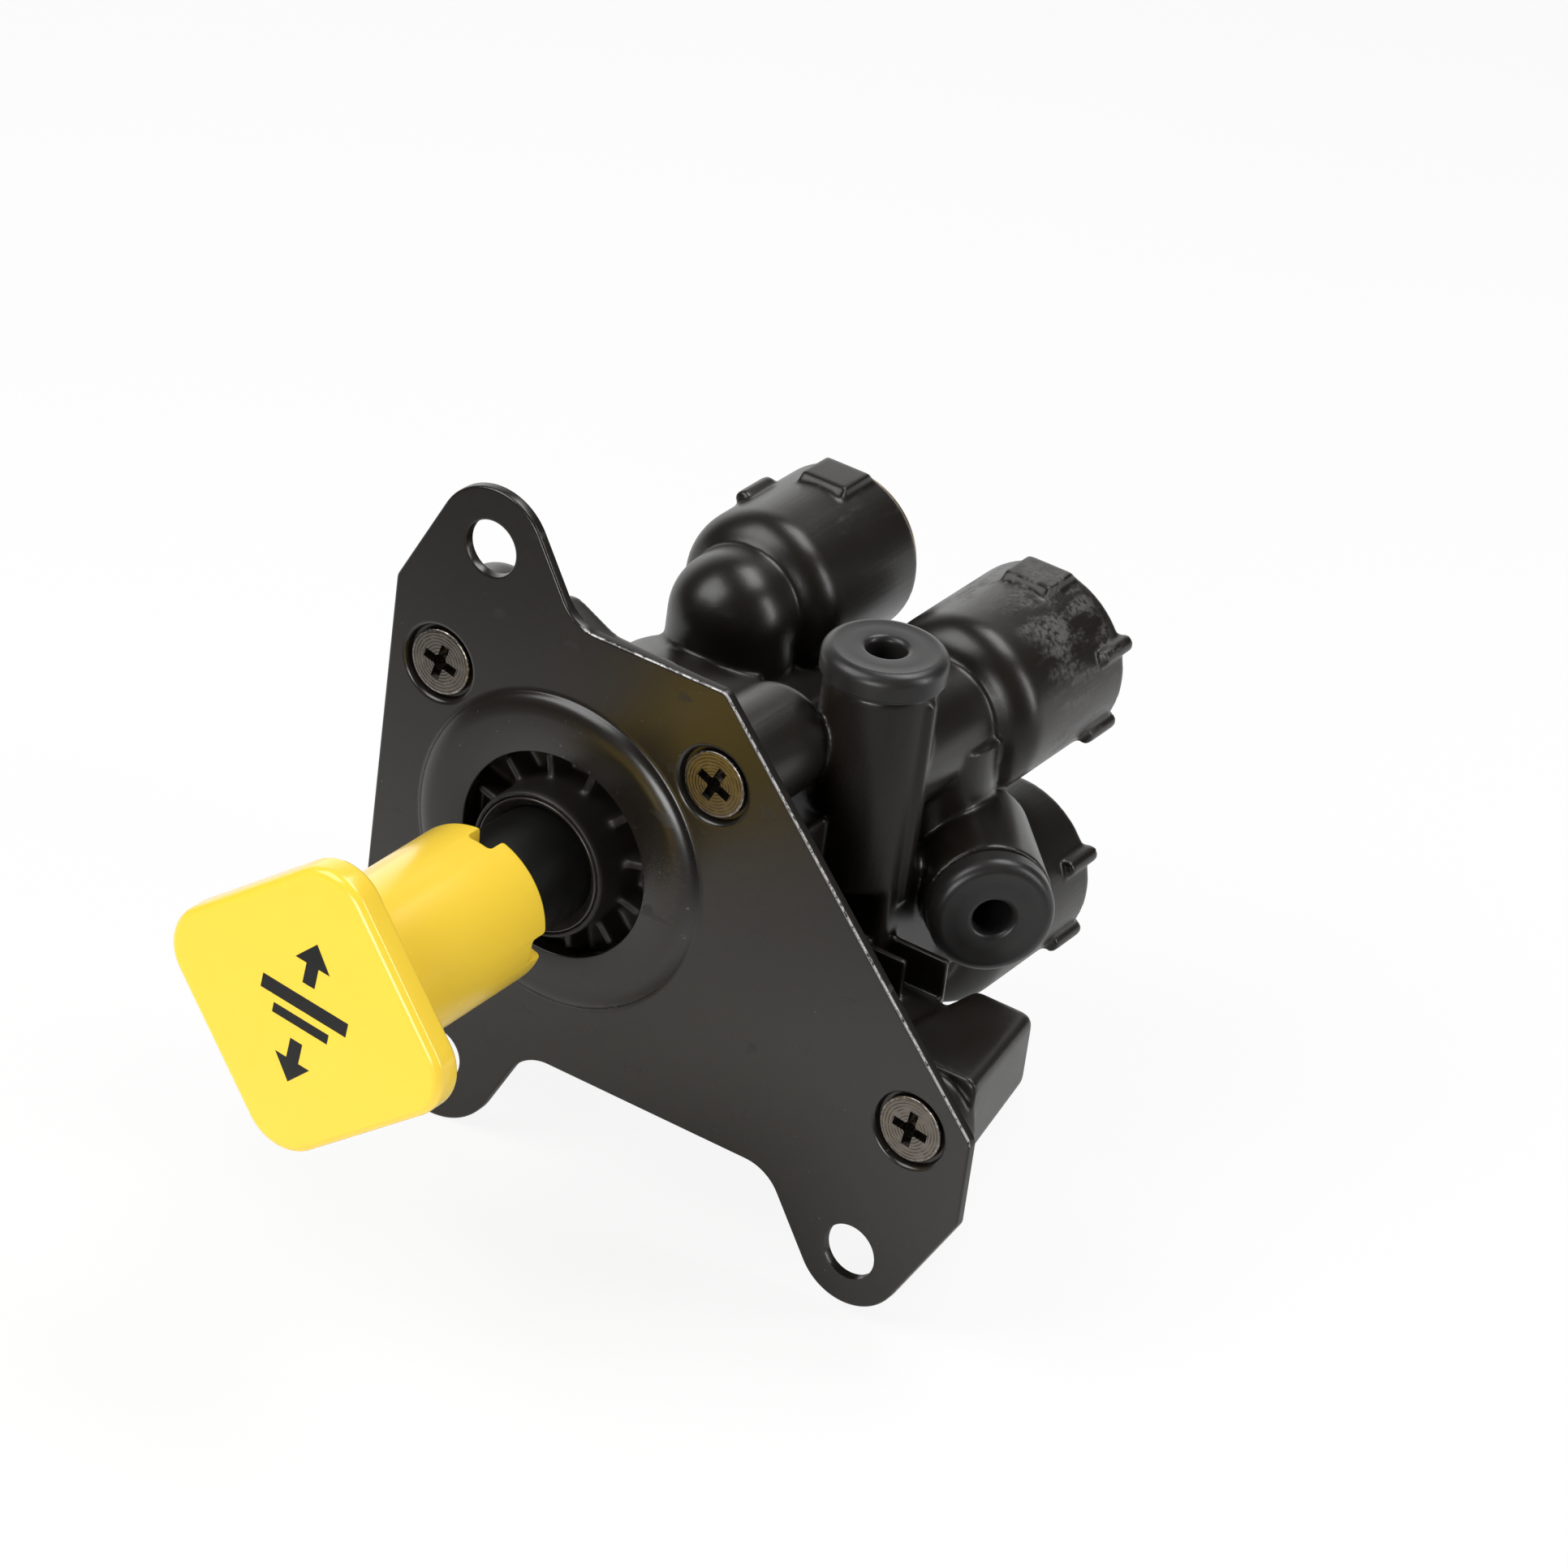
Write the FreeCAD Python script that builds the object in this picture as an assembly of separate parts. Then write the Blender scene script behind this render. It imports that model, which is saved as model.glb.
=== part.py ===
import FreeCAD, Part
import math
import os

# Air brake dash control valve: a stamped panel plate, a moulded housing with four tube ports and a
# square push-pull knob.  X runs to the right, +Y runs back from the panel, +Z is up.
# The shapes are drawn around the plunger axis, with y = 0 on the front face of the plate.
# They are moved at the end, so that the origin is the middle of the two left panel holes, level
# with the plunger.  All lengths are in millimetres, all angles in degrees.

V = FreeCAD.Vector

# Clearances
SLIDE_GAP = 0.10        # radial, plunger, shuttle and collets in their bores
SEAT_GAP = 0.05         # radial, still pieces in their holes
TUBE_GAP = 0.10         # radial, collet bore over the tube

# Panel holes and plate
HOLE_LEFT_X = -19.6
HOLE_RIGHT_X = 64.6
HOLE_Z = 48.7
HOLE_R = 4.9
EAR_TOP_R = 10.7
EAR_LOW_R = 12.0
EAR_RIGHT_R = 10.0
PLATE_T = 2.0
PLATE_LEFT_X = -37.3
PLATE_RIGHT_X = 83.6
PLATE_TOP_Z = 41.4
PLATE_LOW_Z = -40.7
PLATE_CUT_X = 27.7      # where the long slanted edge leaves the top edge
PLATE_CUT_Z = -18.6     # where it meets the right edge
EAR_LEFT_Z = 36.8       # where the left edge bends towards an ear
EAR_RIGHT_Z = 34.6      # where the right edge bends towards the lower ear
EAR_INNER = 17.4        # from an ear's hole to where its inner side meets the long edge
EAR_FILLET_R = 8.0
PLATE_CORNER_R = 2.5
PLATE_BREAK = 0.45      # rounded front edge of the stamping

# Raised ring stamped round the knob
RING_R = 28.2
RING_TOP_R = 23.4
RING_H = 1.8
RING_SKIRT = 0.6        # concave foot of the ring
MOUTH_R = 18.1

# Plate screws and their dimples
SCREW_LEFT_X = -27.3
SCREW_MID_X = 27.5
SCREW_Z = 24.2
SCREW_ARM_X = 72.2
SCREW_ARM_Z = -21.3
SCREW_HEAD_R = 5.85
SCREW_HEAD_RIM = 0.5
SCREW_R = 3.0
SCREW_L = 19.0
SCREW_CONE = 41.0       # half angle of the flat head
THROAT_R = 4.2          # narrow end of the cone that the plate gives the head
DIMPLE_R = 7.4
DIMPLE_H = 0.9
RECESS_W = 1.25
RECESS_L = 6.4
RECESS_H = 2.3

# Housing: flange, main cylinder and collar
FLANGE_T = 5.0
FLANGE_INSET = 3.0
FLANGE_CUT_INSET = 6.6   # along the long slanted edge
MAIN_R = 23.3
MAIN_STEP_Y = 41.0
MAIN_REAR_R = 21.8
MAIN_REAR_Y = 70.0
COLLAR_R = 13.0
COLLAR_Y = -6.7
COLLAR_ROUND = 0.9
GUIDE_R = 11.9
GUIDE_BEVEL = 1.5       # depth of the bright bevel in its mouth
GUIDE_REAR_Y = 6.0
BORE_R = 10.0
WELL_Y = 3.0            # floor of the well round the collar
RIB_COUNT = 12
RIB_TURN = 16.5
RIB_W = 1.6
RIB_Y = -0.2

# Screw bosses behind the flange
BOSS_R = 9.6
BOSS_LIFT = 1.6
BOSS_L = 14.0
BOSS_DOME = 3.0
ARM_W = 20.0
ARM_L = 25.0
ARM_RIGHT_X = 80.0
ARM_TOP_Z = -11.6
ARM_BOTTOM_Z = -27.5
ARM_DRAFT = 0.12        # width lost per unit of length at the sides
ARM_ROUND = 2.0
ARM_PAD_R = 8.7         # rounded end of the flange round the far screw

# Tube ports: barrels that run straight back
EXHAUST_R = 15.2
SUPPLY_R = 16.0
NECK_R = 10.4
SHOULDER_R = 6.5
ELBOW_R = 11.0          # front ends of the two left ports
EXHAUST_X = 0.0
EXHAUST_Z = 27.0
EXHAUST_REAR_Y = 80.0
EXHAUST_NECK_Y = 49.0
EXHAUST_NOSE_Y = 34.6
SUPPLY_X = 38.6
SUPPLY_Z = 20.7
SUPPLY_REAR_Y = 85.0
SUPPLY_NECK_Y = 52.0
PAD_W = 9.0
PAD_L = 10.0
PAD_H = 1.1
PAD_BACK = 1.5
LUG_W = 3.0
LUG_L = 8.5
LUG_H = 1.8
LUG_PAST = 0.3
LUG_AHEAD = 11.0        # how far the exhaust lug lies in front of the rim
SUPPLY_LUGS = (25.0, -31.0)
EXHAUST_LUGS = (131.0,)

# Push-in cartridge in each port
TUBE_R = 4.75           # 3/8-inch nylon tube
COLLET_R = 6.6
COLLET_LIP_R = 9.2
COLLET_LIP_T = 2.2
COLLET_L = 13.0
COLLET_TRAVEL = 1.0
CARTRIDGE_R = 11.2
CARTRIDGE_LIP_R = 13.6
CARTRIDGE_LIP_T = 1.3
CARTRIDGE_L = 9.0
CARTRIDGE_FACE = 0.3    # from the barrel's rim to the front of the lip
SOCKET_R = 8.2
SOCKET_L = 16.0
RING_SECTION_R = 1.3
PASSAGE_R = 3.6
PASSAGE_L = 10.0

# Check-valve bosses and their caps
TOP_X = 39.5
TOP_Y = 28.7
TOP_Z = 43.4
CAP_R = 10.6
CAP_H = 5.0
CAP_ROUND = 2.0
CAP_HOLE_R = 3.3
CAP_HOLE_MOUTH = 1.1
CAP_PLUG_R = 6.6
CAP_PLUG_L = 5.0
TOP_BOSS_R = 9.7
TOP_BOSS_END_Z = 2.0
SIDE_X = 63.3
SIDE_Y = 34.6
SIDE_Z = -0.6
SIDE_ANGLE = -47.0      # direction that the side cap faces, from +X
SIDE_BOSS_R = 10.9
SIDE_BOSS_L = 21.0
TOP_RIB_W = 2.2
TOP_RIB_H = 0.9
GUSSET_COUNT = 2
GUSSET_PITCH = 5.0
GUSSET_W = 1.6

# Supply core that joins the necks, the bosses and the main cylinder
CORE_R = 12.0
CORE_Y = 49.0
WEB_Z = 15.0
WEB_FRONT_Y = 12.0
WEB_REAR_Y = 60.0
SHELF_TOP_Z = 4.0
SHELF_LOW_Z = -24.0
SHELF_FRONT_Y = 23.8
SHELF_RIGHT_X = 49.0

# Check shuttle in the top boss
SHUTTLE_R = 5.6
SHUTTLE_L = 7.0
SHUTTLE_TRAVEL = 3.0
SHUTTLE_REST = 0.3      # from the shuttle to its seat and, at full travel, to the cap
SEAT_L = 4.0

# Knob
KNOB_SIDE = 42.8
KNOB_T = 5.8
KNOB_FRONT_Y = -68.8
KNOB_CORNER_R = 8.5
KNOB_EDGE_R = 1.5
KNOB_TURN = 51.6
SKIRT_R = 14.0
SKIRT_END_Y = -22.6
SKIRT_BORE_R = 10.6
SKIRT_BORE_L = 8.0
SKIRT_ROUND = 1.0
NOTCH_W = 4.8
NOTCH_L = 3.5
NOTCH_ROUND = 1.0
PIN_R = 1.6
PIN_L = 19.0
PIN_Y = -44.0

# Plunger
PLUNGER_TRAVEL = 13.0
PISTON_REST = 0.3       # from the piston to the guide that stops it
PLUNGER_REAR_Y = 33.0
STEM_R = 6.0
STEM_FRONT_Y = -61.5
TAIL_R = 3.6
TAIL_L = 13.0
GROOVE_W = 3.0
GROOVE_H = 2.4
GROOVE_YS = (12.0, 27.0)
SPRING_R = 9.0
SPRING_WIRE_R = 0.6
SPRING_TURNS = 4
SPRING_SPARE = 4.0      # room left for the coil when the plunger is in

ORIGIN_X = HOLE_LEFT_X
BORE_END_Y = PLUNGER_REAR_Y + PLUNGER_TRAVEL + SPRING_SPARE
PLUNGER_R = BORE_R - SLIDE_GAP
PISTON_R = GUIDE_R + SEAT_GAP - SLIDE_GAP
CHAMBER_L = SHUTTLE_L + SHUTTLE_TRAVEL + 2 * SHUTTLE_REST
FLANGE_Y = PLATE_T + FLANGE_T
PORTS = (
    ("exhaust", EXHAUST_X, EXHAUST_Z, EXHAUST_REAR_Y),
    ("delivery", EXHAUST_X, -EXHAUST_Z, EXHAUST_REAR_Y),
    ("supply_upper", SUPPLY_X, SUPPLY_Z, SUPPLY_REAR_Y),
    ("supply_lower", SUPPLY_X, -SUPPLY_Z, SUPPLY_REAR_Y),
)
SCREWS = (
    ("left_upper", SCREW_LEFT_X, SCREW_Z),
    ("left_lower", SCREW_LEFT_X, -SCREW_Z),
    ("middle", SCREW_MID_X, SCREW_Z),
    ("arm", SCREW_ARM_X, SCREW_ARM_Z),
)
HOLES = (
    (HOLE_LEFT_X, HOLE_Z),
    (HOLE_LEFT_X, -HOLE_Z),
    (HOLE_RIGHT_X, -HOLE_Z),
)


def rounded_outline(corners, y):
    """Closed wire in the plane y through (x, z, radius) corners, each rounded by its radius."""
    ends = []
    count = len(corners)
    for i in range(count):
        x, z, radius = corners[i]
        here = V(x, y, z)
        before = V(corners[i - 1][0], y, corners[i - 1][1]) - here
        after = V(corners[(i + 1) % count][0], y, corners[(i + 1) % count][1]) - here
        before.normalize()
        after.normalize()
        half = before.getAngle(after) / 2
        back = radius / math.tan(half)
        middle = (before + after).normalize() * (radius / math.sin(half) - radius)
        ends.append((here + before * back, here + middle, here + after * back))
    edges = []
    for i in range(count):
        start, middle, stop = ends[i]
        if (stop - start).Length > 1e-6:
            edges.append(Part.Arc(start, middle, stop).toShape())
        edges.append(Part.LineSegment(stop, ends[(i + 1) % count][0]).toShape())
    return Part.Wire(edges)


def slab(corners, y, thickness):
    face = Part.Face(rounded_outline(corners, y))
    return face.extrude(V(0, thickness, 0))


def rod_y(x, z, radius, y0, y1):
    return Part.makeCylinder(radius, y1 - y0, V(x, y0, z), V(0, 1, 0))


def box(x0, x1, y0, y1, z0, z1):
    return Part.makeBox(x1 - x0, y1 - y0, z1 - z0, V(x0, y0, z0))


def turned(profile):
    """Solid of revolution about +Z from (radius, height) points; ("via", radius, height) bends an arc."""
    edges = []
    last = None
    bulge = None
    for point in profile + [profile[0]]:
        if point[0] == "via":
            bulge = V(point[1], 0, point[2])
            continue
        here = V(point[0], 0, point[1])
        if last is not None:
            if bulge is not None:
                edges.append(Part.Arc(last, bulge, here).toShape())
            elif (here - last).Length > 1e-6:
                edges.append(Part.LineSegment(last, here).toShape())
        last = here
        bulge = None
    return Part.Face(Part.Wire(edges)).revolve(V(0, 0, 0), V(0, 0, 1), 360)


def placed(shape, point, direction):
    """A copy of a turned shape with its +Z along direction and its zero at point."""
    copy = shape.copy()
    copy.Placement = FreeCAD.Placement(V(*point), FreeCAD.Rotation(V(0, 0, 1), V(*direction)))
    return copy


def along_y(shape, x=0, z=0, y=0):
    return placed(shape, (x, y, z), (0, 1, 0))


def arc_via(cx, cy, radius, degrees):
    angle = math.radians(degrees)
    return ("via", cx + radius * math.cos(angle), cy + radius * math.sin(angle))


def turn_about_y(shape, degrees, x=0, z=0):
    copy = shape.copy()
    copy.rotate(V(x, 0, z), V(0, 1, 0), degrees)
    return copy


def cone_depth(radius):
    """Depth of the screw's cone below the widest rim when it has narrowed to this radius."""
    return (SCREW_HEAD_R - radius) / math.tan(math.radians(SCREW_CONE))


def tangent_side(bend, hole, radius, side):
    """Direction from a bend of the outline along the line that touches an ear on one side."""
    towards = V(hole[0] - bend[0], 0, hole[1] - bend[1])
    spread = math.asin(radius / towards.Length)
    angle = math.atan2(towards.z, towards.x) + side * spread
    return math.cos(angle), math.sin(angle)


def ear_tip(hole, radius, first, second, side):
    """Corner where the two straight sides of an ear would meet; rounded by radius it is the ear."""
    ax, az = tangent_side(first, hole, radius, side)
    bx, bz = tangent_side(second, hole, radius, -side)
    dx = second[0] - first[0]
    dz = second[1] - first[1]
    along = (dx * bz - dz * bx) / (ax * bz - az * bx)
    return first[0] + ax * along, first[1] + az * along, radius


def plate_corners():
    left_top = (PLATE_LEFT_X, EAR_LEFT_Z)
    left_low = (PLATE_LEFT_X, -EAR_LEFT_Z)
    right_low = (PLATE_RIGHT_X, -EAR_RIGHT_Z)
    inner_top = (HOLE_LEFT_X + EAR_INNER, PLATE_TOP_Z)
    inner_low = (HOLE_LEFT_X + EAR_INNER, PLATE_LOW_Z)
    inner_right = (HOLE_RIGHT_X - EAR_INNER, PLATE_LOW_Z)
    return [
        left_top + (PLATE_CORNER_R,),
        ear_tip(HOLES[0], EAR_TOP_R, left_top, inner_top, 1),
        inner_top + (EAR_FILLET_R,),
        (PLATE_CUT_X, PLATE_TOP_Z, PLATE_CORNER_R),
        (PLATE_RIGHT_X, PLATE_CUT_Z, PLATE_CORNER_R),
        right_low + (PLATE_CORNER_R,),
        ear_tip(HOLES[2], EAR_RIGHT_R, right_low, inner_right, 1),
        inner_right + (EAR_FILLET_R,),
        inner_low + (EAR_FILLET_R,),
        ear_tip(HOLES[1], EAR_LOW_R, inner_low, left_low, 1),
        left_low + (PLATE_CORNER_R,),
    ]


def stamped_ring():
    front = -RING_H
    return along_y(turned([
        (MOUTH_R, front),
        (RING_TOP_R, front),
        ("via", RING_TOP_R + 2.9, front + 0.55),
        (RING_R - 0.4, -0.5),
        ("via", RING_R, -0.14),
        (RING_R + RING_SKIRT, 0),
        (RING_R + RING_SKIRT, PLATE_T),
        (RING_R - 0.9, PLATE_T),
        (RING_TOP_R - 0.4, front + PLATE_T),
        (MOUTH_R, front + PLATE_T),
    ]))


def mounting_plate():
    plate = slab(plate_corners(), 0, PLATE_T)
    rim = [e for e in plate.Edges if e.BoundBox.YMax < 1e-6]
    plate = plate.makeFillet(PLATE_BREAK, rim)
    plate = plate.cut(rod_y(0, 0, RING_R + RING_SKIRT, -1, PLATE_T + 1)).fuse(stamped_ring())
    for x, z in HOLES:
        plate = plate.cut(rod_y(x, z, HOLE_R, -1, PLATE_T + 1))
    head_y = DIMPLE_H
    throat_y = head_y + cone_depth(THROAT_R)
    rim_r = SCREW_HEAD_R + SEAT_GAP + 0.25
    dimple = turned([
        (THROAT_R + SEAT_GAP, throat_y),
        (SCREW_HEAD_R + SEAT_GAP, head_y),
        (rim_r, head_y),
        (DIMPLE_R, 0),
        (DIMPLE_R, PLATE_T),
        (rim_r, throat_y),
    ])
    for name, x, z in SCREWS:
        plate = plate.cut(rod_y(x, z, DIMPLE_R, -1, PLATE_T + 1)).fuse(along_y(dimple, x, z))
    return plate.removeSplitter()


def plate_screw(x, z):
    """Flat-head screw with a cross recess; its cone seats in the dimple of the plate."""
    top = DIMPLE_H - SCREW_HEAD_RIM
    neck_y = DIMPLE_H + cone_depth(SCREW_R)
    blank = turned([
        (0, top),
        (SCREW_HEAD_R - 0.25, top),
        (SCREW_HEAD_R, top + 0.25),
        (SCREW_HEAD_R, DIMPLE_H),
        (SCREW_R, neck_y),
        (SCREW_R, SCREW_L - 1.2),
        (SCREW_R - 1.0, SCREW_L),
        (0, SCREW_L),
    ])
    screw = along_y(blank, x, z)
    for turn in (0, 90):
        wing = box(-RECESS_L / 2, RECESS_L / 2, top - 1, top + RECESS_H, -RECESS_W / 2, RECESS_W / 2)
        wing.translate(V(x, 0, z))
        screw = screw.cut(turn_about_y(wing, turn + 24, x, z))
    pit = Part.makeCone(1.7, 0.6, RECESS_H, V(x, top, z), V(0, 1, 0))
    return screw.cut(pit)


def flange_corners():
    left = PLATE_LEFT_X + FLANGE_INSET
    top = PLATE_TOP_Z - FLANGE_INSET
    low = PLATE_LOW_Z + FLANGE_INSET
    ear = HOLE_LEFT_X + EAR_INNER * 0.75
    run = PLATE_RIGHT_X - PLATE_CUT_X
    fall = PLATE_TOP_Z - PLATE_CUT_Z
    length = math.hypot(run, fall)
    shift = FLANGE_CUT_INSET * length / fall
    arm_right = PLATE_RIGHT_X - shift + (PLATE_CUT_Z - SCREW_ARM_Z) * run / fall
    arm_low = SCREW_ARM_Z - ARM_PAD_R
    top_right = PLATE_CUT_X - shift + (PLATE_TOP_Z - top) * run / fall
    return [
        (left, EAR_LEFT_Z - 7, 4),
        (ear, top + 4.6, 3),
        (HOLE_LEFT_X + EAR_INNER + 4, top + 0.6, 6),
        (top_right, top, 3),
        (arm_right, SCREW_ARM_Z, 2),
        (SCREW_ARM_X, arm_low, 2),
        (SCREW_ARM_X - ARM_W, arm_low - 1, 6),
        (SCREW_MID_X + 8, low, 6),
        (HOLE_LEFT_X + EAR_INNER + 4, low, 6),
        (ear, low - 4.6, 3),
        (left, -EAR_LEFT_Z + 7, 4),
    ]


def port_barrel(x, z, radius, rear, neck, lugs, ahead):
    """Barrel with a domed front shoulder, a raised pad on top of the rear and small side lugs."""
    full = neck + SHOULDER_R
    barrel = along_y(turned([
        (0, neck - 1),
        (NECK_R - 1, neck - 1),
        (NECK_R - 1, neck),
        (radius - SHOULDER_R, neck),
        arc_via(radius - SHOULDER_R, full, SHOULDER_R, -45),
        (radius, full),
        (radius, rear - 1),
        (radius - 1, rear),
        (0, rear),
    ]), x, z)
    side = 1 if z > 0 else -1
    pad = box(-PAD_W / 2, PAD_W / 2, rear - PAD_BACK - PAD_L, rear - PAD_BACK, radius - 3, radius + PAD_H)
    slope = [e for e in pad.Edges if e.BoundBox.ZMin > radius and e.BoundBox.YLength < 0.1]
    pad = pad.makeChamfer(1.2, slope)
    pad.translate(V(x, 0, z))
    barrel = barrel.fuse(turn_about_y(pad, 0 if side > 0 else 180, x, z))
    end = rear + LUG_PAST - ahead
    lug = box(radius - 1.5, radius + LUG_H, end - LUG_L, end, -LUG_W / 2, LUG_W / 2)
    lug = lug.makeFillet(LUG_W / 2 - 0.3, [e for e in lug.Edges if e.BoundBox.YLength > LUG_L / 2
                                           and e.BoundBox.XMin > radius])
    lug.translate(V(x, 0, z))
    for angle in lugs:
        barrel = barrel.fuse(turn_about_y(lug, -angle, x, z))
    return barrel


def elbow(x, z, nose, rear):
    """Neck with a domed front end that turns down into the main cylinder."""
    dome = turned([
        (0, nose),
        arc_via(0, nose + ELBOW_R, ELBOW_R, -45),
        (ELBOW_R, nose + ELBOW_R),
        (ELBOW_R, rear),
        (0, rear),
    ])
    foot = Part.makeCylinder(ELBOW_R, abs(z) - 4, V(x, nose + ELBOW_R, 0), V(0, 0, z))
    foot.translate(V(0, 0, 4 if z > 0 else -4))
    return along_y(dome, x, z).fuse(foot)


def port_bore(x, z, rear):
    """Stepped socket of one port, from the rim inwards."""
    seat = rear - CARTRIDGE_L + CARTRIDGE_FACE
    tool = along_y(turned([
        (0, rear + 1),
        (CARTRIDGE_R + SEAT_GAP, rear + 1),
        (CARTRIDGE_R + SEAT_GAP, seat),
        (SOCKET_R, seat),
        (SOCKET_R, seat - SOCKET_L / 2),
        (TUBE_R + TUBE_GAP, seat - SOCKET_L / 2),
        (TUBE_R + TUBE_GAP, seat - SOCKET_L),
        (PASSAGE_R, seat - SOCKET_L),
        (PASSAGE_R, seat - SOCKET_L - PASSAGE_L),
        (0, seat - SOCKET_L - PASSAGE_L),
    ]), x, z)
    return tool


def side_direction():
    angle = math.radians(SIDE_ANGLE)
    return (math.cos(angle), math.sin(angle), 0)


def boss_chamber():
    """Bore of a check-valve boss, drawn with zero at the cap's outer face and running down -Z."""
    seat = -CAP_H
    return turned([
        (0, seat + 1),
        (CAP_PLUG_R + SEAT_GAP, seat + 1),
        (CAP_PLUG_R + SEAT_GAP, seat - CAP_PLUG_L),
        (SHUTTLE_R + SLIDE_GAP, seat - CAP_PLUG_L),
        (SHUTTLE_R + SLIDE_GAP, seat - CAP_PLUG_L - CHAMBER_L),
        (CAP_HOLE_R, seat - CAP_PLUG_L - CHAMBER_L),
        (CAP_HOLE_R, seat - CAP_PLUG_L - CHAMBER_L - SEAT_L),
        (0, seat - CAP_PLUG_L - CHAMBER_L - SEAT_L),
    ])


def boss_cap():
    """Cap with a rounded rim and a vent hole; its plug fits the mouth of the boss."""
    shoulder = CAP_R - CAP_ROUND
    return turned([
        (CAP_HOLE_R, -CAP_HOLE_MOUTH),
        (CAP_HOLE_R + CAP_HOLE_MOUTH, 0),
        (shoulder, 0),
        arc_via(shoulder, -CAP_ROUND, CAP_ROUND, 45),
        (CAP_R, -CAP_ROUND),
        (CAP_R, -CAP_H),
        (CAP_PLUG_R, -CAP_H),
        (CAP_PLUG_R, -CAP_H - CAP_PLUG_L),
        (CAP_HOLE_R, -CAP_H - CAP_PLUG_L),
    ])


def shuttle():
    """Check shuttle that rests by its seat and slides out towards the cap's plug."""
    low = -CAP_H - CAP_PLUG_L - CHAMBER_L + SHUTTLE_REST
    top = low + SHUTTLE_L
    return turned([
        (0, top - 1.2),
        (2.0, top - 1.2),
        (2.6, top),
        (SHUTTLE_R - 0.8, top),
        (SHUTTLE_R, top - 0.8),
        (SHUTTLE_R, low + 0.8),
        (SHUTTLE_R - 0.8, low),
        (0, low),
    ])


def screw_arm():
    """Tapered block behind the plate that carries the far screw."""
    wires = []
    for depth in (-1.0, ARM_L):
        loss = ARM_DRAFT * (depth + 1.0)
        right = ARM_RIGHT_X - 1.6 * loss
        left = ARM_RIGHT_X - ARM_W + loss
        top = ARM_TOP_Z - 0.3 * loss
        low = ARM_BOTTOM_Z + 0.3 * loss
        corners = [
            (left, top, ARM_ROUND),
            (right, top, ARM_ROUND),
            (right, low, ARM_ROUND),
            (left, low, ARM_ROUND),
        ]
        wires.append(rounded_outline(corners, FLANGE_Y + depth))
    arm = Part.makeLoft(wires, True, True)
    rear = FLANGE_Y + ARM_L
    return arm.makeFillet(1.2, [e for e in arm.Edges if e.BoundBox.YMin > rear - 0.01])


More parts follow.
